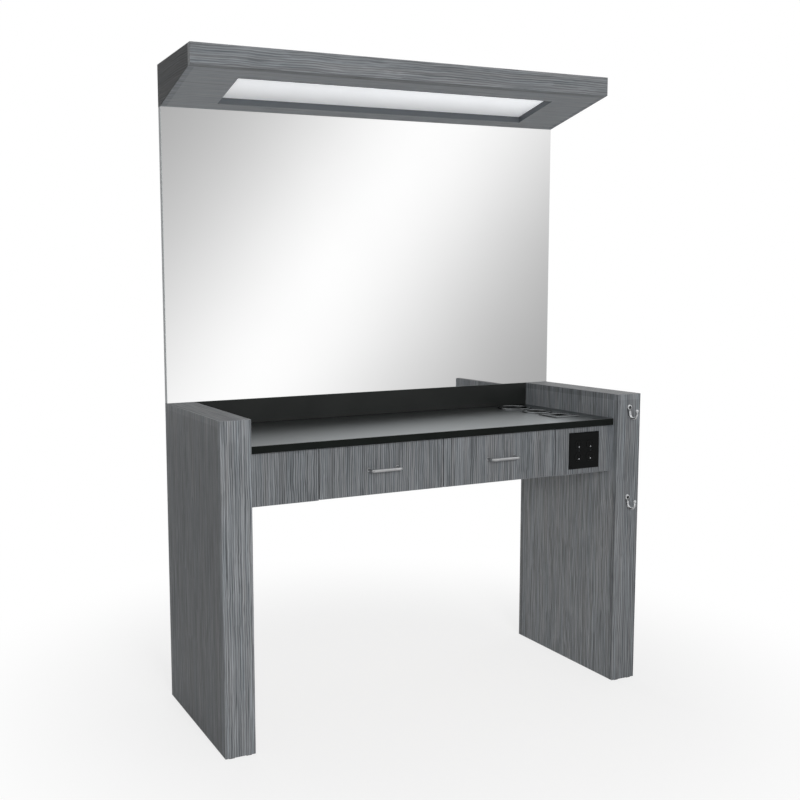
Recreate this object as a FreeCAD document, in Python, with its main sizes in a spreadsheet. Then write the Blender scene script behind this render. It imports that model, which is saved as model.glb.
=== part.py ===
import FreeCAD, Part

import itertools
import math
import os

import Sketcher

# Salon styling station: two box legs carry a black counter with two drawers, a tall
# mirror and a wedge canopy with a light in its sloping soffit.
#
# Frame: +Z up, the front faces -Y, X = 0 is the middle plane between the legs.
# The origin is the middle of the station's footprint on the floor, the hooks included.
# Lengths are millimetres.

SIZES = {
    # overall
    "station_width": 1465,       # over the legs, the mirror and the canopy
    "station_depth": 500,        # leg front to the flat back
    "station_height": 2000,      # floor to the canopy's top
    "board_thickness": 19,       # general laminated board
    "arris": 0.8,                # eased edge of a board
    # legs
    "leg_height": 960,
    "leg_width": 92,
    "glide_height": 2,
    "glide_width": 16,
    "glide_inset": 20,           # glide centre from the leg's side
    "core_rail_height": 40,
    "foot_rail_height": 60,      # bottom core rail above the panels' feet
    # counter
    "counter_thickness": 22,
    "counter_setback": 20,       # counter edge behind the leg front
    "backsplash_height": 79,     # counter's top to the legs' top
    "backsplash_thickness": 22,
    "cleat_height": 50,
    "cleat_thickness": 19,
    "cleat_front": 60,           # cleat ends from the leg front
    "cleat_end": 470,
    # apron
    "fascia_setback": 32,        # fascia face behind the leg front
    "fascia_height": 153,
    "fascia_gap": 3,             # gap round each drawer front
    "fixed_fascia_width": 220,
    "apron_bottom_thickness": 12,
    "drawer_bumper": 2,          # drawer front to the carcass edge behind it
    # drawer boxes
    "box_side_thickness": 12,
    "box_length": 400,
    "box_height": 100,
    "box_lift": 24,              # box bottom edge above the apron's lower edge
    "box_bottom_thickness": 6,
    "box_bottom_lift": 8,        # drawer bottom above the box's lower edge
    "groove_depth": 6,
    "groove_play": 0.2,
    # telescopic slides
    "slide_width": 12.7,         # divider face to box side
    "slide_height": 45,
    "slide_length": 390,
    "slide_sheet": 1.2,
    "slide_gap": 0.4,            # running gap between members
    "slide_lip": 2.8,            # how far each rim turns in
    "slide_start": 56,           # slide front end behind the leg front
    # pulls
    "pull_centres": 96,
    "pull_radius": 4.75,
    "pull_reach": 27,            # bar centre line in front of the drawer face
    # outlets
    "plate_width": 118,
    "plate_height": 118,
    "plate_thickness": 6,
    "plate_wall": 2.2,
    "plate_bevel": 2.5,
    "outlet_spacing": 38.9,      # centre to centre in one duplex
    "gang_spacing": 46,
    "outlet_face_radius": 17.2,
    "outlet_face_flat": 14.2,    # half height between the flats
    "outlet_face_proud": 0.8,
    "outlet_play": 0.4,
    "yoke_width": 19,
    "yoke_height": 104,
    "yoke_thickness": 1.5,
    "receptacle_width": 36,
    "receptacle_height": 70,
    "receptacle_depth": 26,
    "outlet_box_width": 96,
    "outlet_box_height": 96,
    "outlet_box_depth": 58,
    "outlet_box_wall": 2,
    "blade_slot_width": 1.8,
    "blade_slot_tall": 8,
    "blade_slot_short": 6.5,
    "blade_slot_offset": 6.35,   # slot middles to the sides of the outlet's middle
    "blade_slot_rise": 3,        # slot middles above the outlet's middle
    "ground_hole_width": 5,
    "ground_hole_drop": 7,
    "contact_depth": 13,         # slots' depth behind the fascia's face
    # tool holders
    "holder_side_gap": 110,      # holder centres from the right leg's inner face
    "holder_flange": 4,          # flange thickness on the counter
    "holder_ease": 1,            # flange's chamfered outer edge
    "holder_wall": 1.5,
    "holder_play": 0.4,
    "dryer_holder_bore": 45,
    "dryer_holder_flange": 59,
    "dryer_holder_from_front": 398,
    "dryer_holder_depth": 110,
    "iron_holder_bore": 34,
    "iron_holder_flange": 50,
    "iron_holder_from_front": 271,
    "iron_holder_depth": 115,
    "square_holder_bore": 50,
    "square_holder_flange": 95,
    "square_holder_from_front": 157,
    "square_holder_depth": 95,
    "square_holder_corner": 3,
    # hooks
    "hook_reach": 40,            # tip in front of the leg face
    "hook_top_drop": 44,         # upper boss below the leg's top
    "hook_spacing": 297,
    "hook_boss_radius": 8.5,
    "hook_plate": 4,
    "hook_shank": 26,            # boss centre down to the shank's narrow end
    "hook_turn": 18.8,           # boss centre down to where the J starts to turn
    "hook_tip_rise": 10,         # straight end of the J above its turn
    "hook_rod_radius": 3.4,
    "hook_knob_radius": 4.6,
    "hook_knob_flat": 1.9,       # radius of the knob's ends, half height of its rim
    # mirror
    "glass_thickness": 5,
    "mastic_thickness": 1,
    "mirror_board_thickness": 16,
    "mastic_pad": 60,
    "strap_width": 40,
    "strap_thickness": 6,
    "strap_bottom": 480,         # strap end above the floor
    "strap_top": 1960,
    # canopy
    "canopy_setback": 188,       # canopy face behind the leg front
    "canopy_face": 59,
    "canopy_rear": 127,          # height over the mirror's top
    "opening_margin": 170.5,     # opening ends from the canopy's ends
    "opening_front": 71,         # opening edges behind the canopy face
    "opening_back": 249,
    "diffuser_thickness": 3,
    "diffuser_lap": 14,
    "stop_width": 10,
    "stop_height": 8,
    "tube_radius": 13,
    "tube_length": 1198,
    "tube_front": 122,           # tube axes behind the canopy face
    "tube_back": 212,
    "tube_drop": 40,             # tube axes below the canopy's top
    "lamp_holder_width": 22,
    "lamp_holder_depth": 30,
    "lamp_holder_drop": 14,      # lamp holder's lower face below the tube's axis
    "driver_length": 240,
    "driver_depth": 42,
    "driver_height": 26,
    "driver_gap": 6,
}

doc = FreeCAD.newDocument("salon_station")
sheet = doc.addObject("Spreadsheet::Sheet", "Sizes")
for row, (alias, number) in enumerate(SIZES.items(), start=1):
    sheet.set(f"A{row}", alias)
    sheet.set(f"B{row}", str(number))
    sheet.setAlias(f"B{row}", alias)
doc.recompute()


class Size:
    """A length held as a sheet expression together with its value."""

    def __init__(self, text, value):
        self.text = text
        self.value = value

    def __add__(self, other):
        other = as_size(other)
        return Size(f"({self.text} + {other.text})", self.value + other.value)

    def __sub__(self, other):
        other = as_size(other)
        return Size(f"({self.text} - {other.text})", self.value - other.value)

    def __mul__(self, other):
        other = as_size(other)
        return Size(f"({self.text} * {other.text})", self.value * other.value)

    def __truediv__(self, other):
        other = as_size(other)
        return Size(f"({self.text} / {other.text})", self.value / other.value)

    def __neg__(self):
        return Size(f"(0 - {self.text})", -self.value)

    def root(self):
        return Size(f"sqrt({self.text})", math.sqrt(self.value))


def as_size(number):
    if isinstance(number, Size):
        return number
    return Size(f"{number:g}", float(number))


class SheetSizes:
    """Each alias of the sheet as a Size."""

    def __getattr__(self, alias):
        return Size(f"Sizes.{alias}", float(sheet.get(alias)))


mm = SheetSizes()
ZERO = as_size(0)

# Places that several pieces share.
half_width = mm.station_width / 2
leg_inner = half_width - mm.leg_width
leg_middle = half_width - mm.leg_width / 2
front = -(mm.station_depth - mm.hook_reach) / 2
back = front + mm.station_depth
counter_height = mm.leg_height - mm.backsplash_height
counter_bottom = counter_height - mm.counter_thickness
apron_bottom = counter_bottom - mm.fascia_height
apron_middle = apron_bottom + mm.fascia_height / 2
fascia_face = front + mm.fascia_setback
fascia_back = fascia_face + mm.board_thickness
fixed_fascia_edge = leg_inner - mm.fixed_fascia_width
drawer_pitch = fixed_fascia_edge - mm.fascia_gap / 2
rail_face = back - mm.board_thickness
glass_back = back - mm.mirror_board_thickness - mm.mastic_thickness
glass_face = glass_back - mm.glass_thickness
mirror_top = mm.station_height - mm.canopy_rear
canopy_face = front + mm.canopy_setback
canopy_face_bottom = mm.station_height - mm.canopy_face
soffit_fall = (canopy_face_bottom - mirror_top) / (glass_face - canopy_face)
soffit_rise = mm.board_thickness * (soffit_fall * soffit_fall + 1).root()


def soffit_under(y):
    """Height of the soffit's lower face at y."""
    return canopy_face_bottom - soffit_fall * (y - canopy_face)


nodes = []
FACE_AXES = {"x": "YZ", "y": "XZ", "z": "XY"}
LOW_AND_HIGH = [axis + end for axis in "xyz" for end in "-+"]
ALL_EDGES = [pair for pair in itertools.combinations(LOW_AND_HIGH, 2) if pair[0][0] != pair[1][0]]
FRONT_CORNERS = [("x-", "y-"), ("x+", "y-")]
BACK_CORNERS = [("x-", "y+"), ("x+", "y+")]
TOP_EDGES = [(side, "z+") for side in ("x-", "x+", "y-", "y+")]


def place(thing, corner, rotation=None):
    """Put a document object at a corner whose three coordinates follow the sheet."""
    base = FreeCAD.Vector(*[size.value for size in corner])
    thing.Placement = FreeCAD.Placement(base, rotation or FreeCAD.Rotation())
    for name, size in zip("xyz", corner):
        thing.setExpression(f"Placement.Base.{name}", size.text)


def name_node(thing, label):
    """Make the object a sub-part with its own file."""
    thing.Label = label
    nodes.append(thing)
    return thing


def new_sketch(body, plane, name):
    sketch = body.newObject("Sketcher::SketchObject", name)
    for feature in body.Origin.OriginFeatures:
        if feature.Role == plane:
            sketch.AttachmentSupport = (feature, [""])
    sketch.MapMode = "FlatFace"
    return sketch


def pin_point(sketch, geometry, vertex, across, up):
    """Tie a sketch vertex to the sketch origin in both directions."""
    for kind, size in (("DistanceX", across), ("DistanceY", up)):
        constraint = Sketcher.Constraint(kind, -1, 1, geometry, vertex, size.value)
        number = sketch.addConstraint(constraint)
        sketch.setExpression(f"Constraints[{number}]", size.text)


def add_polygon(sketch, corners):
    """Closed outline with every corner tied to the sheet."""
    first = sketch.GeometryCount
    points = [FreeCAD.Vector(across.value, up.value, 0) for across, up in corners]
    for start, end in zip(points, points[1:] + points[:1]):
        sketch.addGeometry(Part.LineSegment(start, end), False)
    for index in range(len(points)):
        following = first + (index + 1) % len(points)
        joined = Sketcher.Constraint("Coincident", first + index, 2, following, 1)
        sketch.addConstraint(joined)
    for index, (across, up) in enumerate(corners):
        pin_point(sketch, first + index, 1, across, up)


def add_rectangle(sketch, left, low, right, high):
    add_polygon(sketch, [(left, low), (right, low), (right, high), (left, high)])


def add_circle(sketch, across, up, radius):
    centre = FreeCAD.Vector(across.value, up.value, 0)
    circle = Part.Circle(centre, FreeCAD.Vector(0, 0, 1), radius.value)
    geometry = sketch.addGeometry(circle, False)
    pin_point(sketch, geometry, 3, across, up)
    number = sketch.addConstraint(Sketcher.Constraint("Radius", geometry, radius.value))
    sketch.setExpression(f"Constraints[{number}]", radius.text)


def add_pad(body, sketch, length, name, backwards=False, both=False):
    pad = body.newObject("PartDesign::Pad", name)
    pad.Profile = sketch
    pad.Length = length.value
    pad.setExpression("Length", length.text)
    pad.Reversed = backwards
    pad.Midplane = both
    return pad


def add_pocket(body, sketch, length, name, backwards=False):
    pocket = body.newObject("PartDesign::Pocket", name)
    pocket.Profile = sketch
    pocket.Length = length.value
    pocket.setExpression("Length", length.text)
    pocket.Reversed = backwards
    return pocket


def ease_edges(body, feature, pairs):
    """Chamfer a board's edges where two of its outer sides meet, such as "x-" and "z+"."""
    doc.recompute()
    box = feature.Shape.BoundBox
    levels = {"x-": box.XMin, "x+": box.XMax, "y-": box.YMin, "y+": box.YMax,
              "z-": box.ZMin, "z+": box.ZMax}

    def lies_on(edge, side):
        places = [getattr(vertex.Point, side[0]) for vertex in edge.Vertexes]
        return all(abs(place - levels[side]) < 0.001 for place in places)

    edges = []
    for number, edge in enumerate(feature.Shape.Edges, start=1):
        if any(lies_on(edge, first) and lies_on(edge, second) for first, second in pairs):
            edges.append(f"Edge{number}")
    chamfer = body.newObject("PartDesign::Chamfer", "arris")
    chamfer.Base = (feature, edges)
    chamfer.Size = mm.arris.value
    chamfer.setExpression("Size", mm.arris.text)


def board(name, face, low, high, round_holes=(), square_holes=(), eased=ALL_EDGES):
    """A rectangular board between two corners, its holes cut through along the face axis.

    Holes are given in the station's frame, in the two directions across the face axis.
    """
    body = doc.addObject("PartDesign::Body", name)
    across, up = ["XYZ".index(letter) for letter in FACE_AXES[face]]
    sketch = new_sketch(body, FACE_AXES[face] + "_Plane", "outline")
    width = high[across] - low[across]
    height = high[up] - low[up]
    add_rectangle(sketch, ZERO, ZERO, width, height)
    for u, v, radius in round_holes:
        add_circle(sketch, u - low[across], v - low[up], radius)
    for left, bottom, right, top in square_holes:
        add_rectangle(sketch, left - low[across], bottom - low[up],
                      right - low[across], top - low[up])
    through = "xyz".index(face)
    thickness = high[through] - low[through]
    pad = add_pad(body, sketch, thickness, "thickness", backwards=(face == "y"))
    if eased:
        ease_edges(body, pad, eased)
    place(body, low)
    return body


def block(name, low, high):
    """A plain rectangular solid between two corners."""
    box = doc.addObject("Part::Box", name)
    for prop, start, end in zip(("Length", "Width", "Height"), low, high):
        length = end - start
        setattr(box, prop, length.value)
        box.setExpression(prop, length.text)
    place(box, low)
    return box


def extruded(name, plane, corners, length, corner, backwards=False, both=False):
    """A solid of one closed outline, extruded off its plane."""
    body = doc.addObject("PartDesign::Body", name)
    sketch = new_sketch(body, plane, "outline")
    add_polygon(sketch, corners)
    add_pad(body, sketch, length, "length", backwards, both)
    place(body, corner)
    return body


def turned(name, corners, corner, rotation=None):
    """A solid of revolution: corners are (radius, height) about its own Z axis."""
    body = doc.addObject("PartDesign::Body", name)
    sketch = new_sketch(body, "XZ_Plane", "half_section")
    add_polygon(sketch, corners)
    revolution = body.newObject("PartDesign::Revolution", "turn")
    revolution.Profile = sketch
    revolution.ReferenceAxis = (sketch, ["V_Axis"])
    revolution.Angle = 360
    place(body, corner, rotation)
    return body


def group(label, members):
    """Several separate solids in one node."""
    compound = doc.addObject("Part::Compound", label)
    compound.Links = members
    return name_node(compound, label)


def cut_piece(name, base, tools):
    """The base with the tools' shapes taken out."""
    tool = tools[0]
    if len(tools) > 1:
        tool = doc.addObject("Part::Compound", name + "_cuts")
        tool.Links = tools
    result = doc.addObject("Part::Cut", name)
    result.Base = base
    result.Tool = tool
    return result


def cut(label, base, tools):
    """A cut piece that is a node of its own."""
    return name_node(cut_piece(label, base, tools), label)


def cylinder(name, radius, length, corner, rotation=None):
    """A round bar from the corner along its own Z axis."""
    bar = doc.addObject("Part::Cylinder", name)
    for prop, size in (("Radius", radius), ("Height", length)):
        setattr(bar, prop, size.value)
        bar.setExpression(prop, size.text)
    place(bar, corner, rotation)
    return bar


Z_TO_RIGHT = FreeCAD.Rotation(FreeCAD.Vector(0, 1, 0), 90)
RING_BELOW = FreeCAD.Rotation(FreeCAD.Vector(0, -1, 0), FreeCAD.Vector(0, 0, -1),
                              FreeCAD.Vector(1, 0, 0), "XYZ")
SIDES = (("left", -1), ("right", 1))


def span(side, near, far):
    """The lower and higher X of a piece from near to far off the middle plane."""
    if side > 0:
        return near, far
    return -far, -near


def mirrored(side, distance):
    return distance if side > 0 else -distance


# ---- legs

def build_legs(strap_grooves):
    panel_top = mm.leg_height - mm.board_thickness
    side_front = front + mm.board_thickness
    core_rails = []
    glides = []
    half_glide = mm.glide_width / 2
    for name, side in SIDES:
        low_x, high_x = span(side, leg_inner, half_width)
        panel = board(f"{name}_front_board", "y", (low_x, front, mm.glide_height),
                      (high_x, side_front, panel_top), eased=FRONT_CORNERS)
        name_node(panel, f"leg_{name}_front_panel")
        panel = board(f"{name}_back_board", "y", (low_x, rail_face, mm.glide_height),
                      (high_x, back, panel_top), eased=BACK_CORNERS)
        cut(f"leg_{name}_back_panel", panel, [strap_grooves[name]])
        outer_low, outer_high = span(side, half_width - mm.board_thickness, half_width)
        panel = board(f"{name}_outer_board", "x", (outer_low, side_front, mm.glide_height),
                      (outer_high, rail_face, panel_top), eased=())
        name_node(panel, f"leg_{name}_outer_panel")
        inner_low, inner_high = span(side, leg_inner, leg_inner + mm.board_thickness)
        panel = board(f"{name}_inner_board", "x", (inner_low, side_front, mm.glide_height),
                      (inner_high, rail_face, panel_top), eased=())
        name_node(panel, f"leg_{name}_inner_panel")
        cap = board(f"{name}_cap_board", "z", (low_x, front, panel_top),
                    (high_x, back, mm.leg_height),
                    eased=TOP_EDGES + FRONT_CORNERS + BACK_CORNERS)
        cut(f"leg_{name}_top_cap", cap, [strap_grooves[name]])
        core_low, core_high = span(side, leg_inner + mm.board_thickness,
                                   half_width - mm.board_thickness)
        cleat_line = counter_bottom - mm.cleat_height / 2
        for bottom in (mm.glide_height + mm.foot_rail_height,
                       cleat_line - mm.core_rail_height / 2,
                       panel_top - mm.core_rail_height):
            core_rails.append(
                block(f"{name}_core_rail", (core_low, side_front, bottom),
                      (core_high, rail_face, bottom + mm.core_rail_height)))
        for distance in (leg_inner + mm.glide_inset, half_width - mm.glide_inset):
            x = mirrored(side, distance)
            for y in (front + mm.board_thickness / 2, back - mm.board_thickness / 2):
                glides.append(block("glide", (x - half_glide, y - half_glide, ZERO),
                                    (x + half_glide, y + half_glide, mm.glide_height)))
    group("leg_core_rails", core_rails)
    group("floor_glides", glides)


# ---- counter, backsplash and the boards under the counter

def holder_places():
    x = leg_inner - mm.holder_side_gap
    return {"dryer": (x, front + mm.dryer_holder_from_front),
            "iron": (x, front + mm.iron_holder_from_front),
            "square": (x, front + mm.square_holder_from_front)}


def build_counter():
    places = holder_places()
    round_holes = []
    for name, bore in (("dryer", mm.dryer_holder_bore), ("iron", mm.iron_holder_bore)):
        x, y = places[name]
        round_holes.append((x, y, bore + mm.holder_wall + mm.holder_play))
    x, y = places["square"]
    half = mm.square_holder_bore / 2 + mm.holder_wall + mm.holder_play
    counter = board("counter_slab", "z", (-leg_inner, front + mm.counter_setback, counter_bottom),
                    (leg_inner, back, counter_height), round_holes,
                    [(x - half, y - half, x + half, y + half)])
    name_node(counter, "counter_top")
    splash = board("splash_slab", "y", (-leg_inner, back - mm.backsplash_thickness,
                                        counter_height),
                   (leg_inner, back, mm.leg_height))
    name_node(splash, "backsplash")
    cleats = []
    for name, side in SIDES:
        low_x, high_x = span(side, leg_inner - mm.cleat_thickness, leg_inner)
        cleats.append(block(f"{name}_cleat",
                            (low_x, front + mm.cleat_front, counter_bottom - mm.cleat_height),
                            (high_x, front + mm.cleat_end, counter_bottom)))
    group("counter_cleats", cleats)


def build_apron():
    bay = drawer_pitch + mm.board_thickness
    carcass_front = fascia_back + mm.drawer_bumper
    floor_top = apron_bottom + mm.apron_bottom_thickness
    name_node(board("rail", "y", (-leg_inner, rail_face, apron_bottom),
                    (leg_inner, back, counter_bottom)), "apron_back_rail")
    name_node(board("bay_floor", "z", (-bay, carcass_front, apron_bottom),
                    (bay, rail_face, floor_top)), "apron_bottom_panel")
    dividers = [block("centre_divider", (-mm.board_thickness / 2, carcass_front, floor_top),
                      (mm.board_thickness / 2, rail_face, counter_bottom))]
    for name, side in SIDES:
        low_x, high_x = span(side, drawer_pitch, bay)
        dividers.append(block(f"{name}_divider", (low_x, fascia_back, floor_top),
                              (high_x, rail_face, counter_bottom)))
    group("drawer_dividers", dividers)
    box_x = outlet_middle()
    half_box = mm.outlet_box_width / 2 + mm.outlet_play
    half_high = mm.outlet_box_height / 2 + mm.outlet_play
    cutout = (box_x - half_box, apron_middle - half_high, box_x + half_box,
              apron_middle + half_high)
    for name, side in SIDES:
        low_x, high_x = span(side, fixed_fascia_edge, leg_inner)
        holes = [cutout] if side > 0 else []
        fascia = board(f"{name}_fascia", "y", (low_x, fascia_face, apron_bottom),
                       (high_x, fascia_back, counter_bottom), (), holes)
        name_node(fascia, f"{name}_fixed_fascia")


# ---- outlets in the right fixed fascia

def outlet_middle():
    return (leg_inner + fixed_fascia_edge) / 2


def gang_places():
    middle = outlet_middle()
    return middle - mm.gang_spacing / 2, middle + mm.gang_spacing / 2


def clipped_circle(sketch, across, up, radius, flat):
    """A circle cut off by two level flats, as an outlet's face."""
    half = (radius * radius - flat * flat).root()
    angle = math.atan2(flat.value, half.value)
    first = sketch.GeometryCount
    centre = FreeCAD.Vector(across.value, up.value, 0)
    circle = Part.Circle(centre, FreeCAD.Vector(0, 0, 1), radius.value)
    corners = [(across + half, up - flat), (across + half, up + flat),
               (across - half, up + flat), (across - half, up - flat)]
    points = [FreeCAD.Vector(x.value, y.value, 0) for x, y in corners]
    sketch.addGeometry(Part.ArcOfCircle(circle, -angle, angle), False)
    sketch.addGeometry(Part.LineSegment(points[1], points[2]), False)
    sketch.addGeometry(Part.ArcOfCircle(circle, math.pi - angle, math.pi + angle), False)
    sketch.addGeometry(Part.LineSegment(points[3], points[0]), False)
    pin_point(sketch, first + 1, 1, *corners[1])
    pin_point(sketch, first + 1, 2, *corners[2])
    pin_point(sketch, first + 3, 1, *corners[3])
    pin_point(sketch, first + 3, 2, *corners[0])
    for arc, start, end in ((first, (first + 3, 2), (first + 1, 1)),
                            (first + 2, (first + 1, 2), (first + 3, 1))):
        sketch.addConstraint(Sketcher.Constraint("Coincident", arc, 1, *start))
        sketch.addConstraint(Sketcher.Constraint("Coincident", arc, 2, *end))
        number = sketch.addConstraint(Sketcher.Constraint("Radius", arc, radius.value))
        sketch.setExpression(f"Constraints[{number}]", radius.text)


def build_receptacle(x):
    """One duplex: a body and its yoke, with two slotted faces through the plate."""
    body = doc.addObject("PartDesign::Body", "duplex")
    yoke = new_sketch(body, "XZ_Plane", "yoke_outline")
    add_rectangle(yoke, -mm.yoke_width / 2, -mm.yoke_height / 2, mm.yoke_width / 2,
                  mm.yoke_height / 2)
    add_pad(body, yoke, mm.yoke_thickness, "yoke")
    rear = new_sketch(body, "XZ_Plane", "rear_outline")
    add_rectangle(rear, -mm.receptacle_width / 2, -mm.receptacle_height / 2,
                  mm.receptacle_width / 2, mm.receptacle_height / 2)
    add_pad(body, rear, mm.receptacle_depth, "rear", backwards=True)
    face_reach = mm.plate_thickness + mm.outlet_face_proud
    faces = new_sketch(body, "XZ_Plane", "face_outlines")
    for side in (-1, 1):
        clipped_circle(faces, ZERO, mm.outlet_spacing / 2 * side, mm.outlet_face_radius,
                       mm.outlet_face_flat)
    add_pad(body, faces, face_reach, "faces")
    place(body, (x, fascia_face, apron_middle))
    return body


def build_outlets():
    middle = outlet_middle()
    half_w = mm.outlet_box_width / 2
    half_h = mm.outlet_box_height / 2
    wall = mm.outlet_box_wall
    outer = block("outlet_box_blank", (middle - half_w, fascia_face, apron_middle - half_h),
                  (middle + half_w, fascia_face + mm.outlet_box_depth, apron_middle + half_h))
    hollow = block("outlet_box_hollow",
                   (middle - half_w + wall, fascia_face, apron_middle - half_h + wall),
                   (middle + half_w - wall, fascia_face + mm.outlet_box_depth - wall,
                    apron_middle + half_h - wall))
    cut("outlet_box", outer, [hollow])

    receptacles = []
    for name, x in zip(("left", "right"), gang_places()):
        receptacles.append(cut_piece(f"{name}_duplex", build_receptacle(x), contact_slots(x)))
    group("outlet_receptacles", receptacles)
    build_plate()


def contact_slots(x):
    """The two blade slots and the ground hole in each face of one duplex."""
    tools = []
    face = fascia_face - mm.plate_thickness - mm.outlet_face_proud
    slot_end = fascia_face + mm.contact_depth
    blade_width = mm.blade_slot_width
    ground = mm.ground_hole_width
    for side in (-1, 1):
        height = apron_middle + mm.outlet_spacing / 2 * side
        blade_middle = height + mm.blade_slot_rise
        for offset, middle, wide, tall in (
                (-mm.blade_slot_offset, blade_middle, blade_width, mm.blade_slot_tall),
                (mm.blade_slot_offset, blade_middle, blade_width, mm.blade_slot_short),
                (ZERO, height - mm.ground_hole_drop, ground, ground)):
            tools.append(block("contact_slot",
                               (x + offset - wide / 2, face, middle - tall / 2),
                               (x + offset + wide / 2, slot_end, middle + tall / 2)))
    return tools


def build_plate():
    """Wall plate: a thin moulding, hollow behind, with a bevelled rim."""
    body = doc.addObject("PartDesign::Body", "plate_moulding")
    half_w = mm.plate_width / 2
    half_h = mm.plate_height / 2
    outline = new_sketch(body, "XZ_Plane", "outline")
    add_rectangle(outline, -half_w, -half_h, half_w, half_h)
    moulding = add_pad(body, outline, mm.plate_thickness, "moulding")
    doc.recompute()
    rim = []
    for number, edge in enumerate(moulding.Shape.Edges, start=1):
        if all(abs(vertex.Y + mm.plate_thickness.value) < 0.001 for vertex in edge.Vertexes):
            rim.append(f"Edge{number}")
    bevel = body.newObject("PartDesign::Chamfer", "rim_bevel")
    bevel.Base = (moulding, rim)
    bevel.Size = mm.plate_bevel.value
    bevel.setExpression("Size", mm.plate_bevel.text)
    hollow = new_sketch(body, "XZ_Plane", "hollow_outline")
    inset = mm.plate_wall + mm.plate_bevel
    add_rectangle(hollow, inset - half_w, inset - half_h, half_w - inset, half_h - inset)
    add_pocket(body, hollow, mm.plate_thickness - mm.plate_wall, "hollow", backwards=True)
    windows = new_sketch(body, "XZ_Plane", "windows")
    for x in (-mm.gang_spacing / 2, mm.gang_spacing / 2):
        for side in (-1, 1):
            clipped_circle(windows, x, mm.outlet_spacing / 2 * side,
                           mm.outlet_face_radius + mm.outlet_play,
                           mm.outlet_face_flat + mm.outlet_play)
    add_pocket(body, windows, mm.plate_thickness, "windows_cut", backwards=True)
    place(body, (outlet_middle(), fascia_face, apron_middle))
    name_node(body, "outlet_plate")


# ---- tool holders let into the counter

def build_holders():
    places = holder_places()
    top = counter_height
    lip = mm.holder_flange
    for name, bore, flange, depth in (
            ("dryer", mm.dryer_holder_bore, mm.dryer_holder_flange, mm.dryer_holder_depth),
            ("iron", mm.iron_holder_bore, mm.iron_holder_flange, mm.iron_holder_depth)):
        wall = bore + mm.holder_wall
        soft = mm.holder_ease
        profile = [(bore, -depth), (wall, -depth), (wall, ZERO), (flange, ZERO),
                   (flange, lip - soft), (flange - soft, lip), (bore, lip)]
        x, y = places[name]
        name_node(turned(f"{name}_sleeve", profile, (x, y, top)), f"{name}_holder")
    body = doc.addObject("PartDesign::Body", "square_sleeve")
    flange_outline = new_sketch(body, "XY_Plane", "flange_outline")
    half = mm.square_holder_flange / 2
    add_rectangle(flange_outline, -half, -half, half, half)
    flange_pad = add_pad(body, flange_outline, lip, "flange")
    doc.recompute()
    corners = []
    for number, edge in enumerate(flange_pad.Shape.Edges, start=1):
        if abs(edge.tangentAt(edge.FirstParameter).z) > 0.9:
            corners.append(f"Edge{number}")
    rounding = body.newObject("PartDesign::Fillet", "flange_corners")
    rounding.Base = (flange_pad, corners)
    rounding.Radius = mm.square_holder_corner.value
    rounding.setExpression("Radius", mm.square_holder_corner.text)
    tube_outline = new_sketch(body, "XY_Plane", "tube_outline")
    half = mm.square_holder_bore / 2 + mm.holder_wall
    add_rectangle(tube_outline, -half, -half, half, half)
    add_pad(body, tube_outline, mm.square_holder_depth, "tube", backwards=True)
    bore_outline = new_sketch(body, "XY_Plane", "bore_outline")
    half = mm.square_holder_bore / 2
    add_rectangle(bore_outline, -half, -half, half, half)
    bore = add_pocket(body, bore_outline, mm.square_holder_depth, "bore")
    bore.Type = "ThroughAll"
    bore.Midplane = True
    x, y = places["square"]
    place(body, (x, y, top))
    name_node(body, "square_holder")


# ---- hooks on the right leg

def hook_heights():
    upper = mm.leg_height - mm.hook_top_drop
    return upper, upper - mm.hook_spacing


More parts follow.
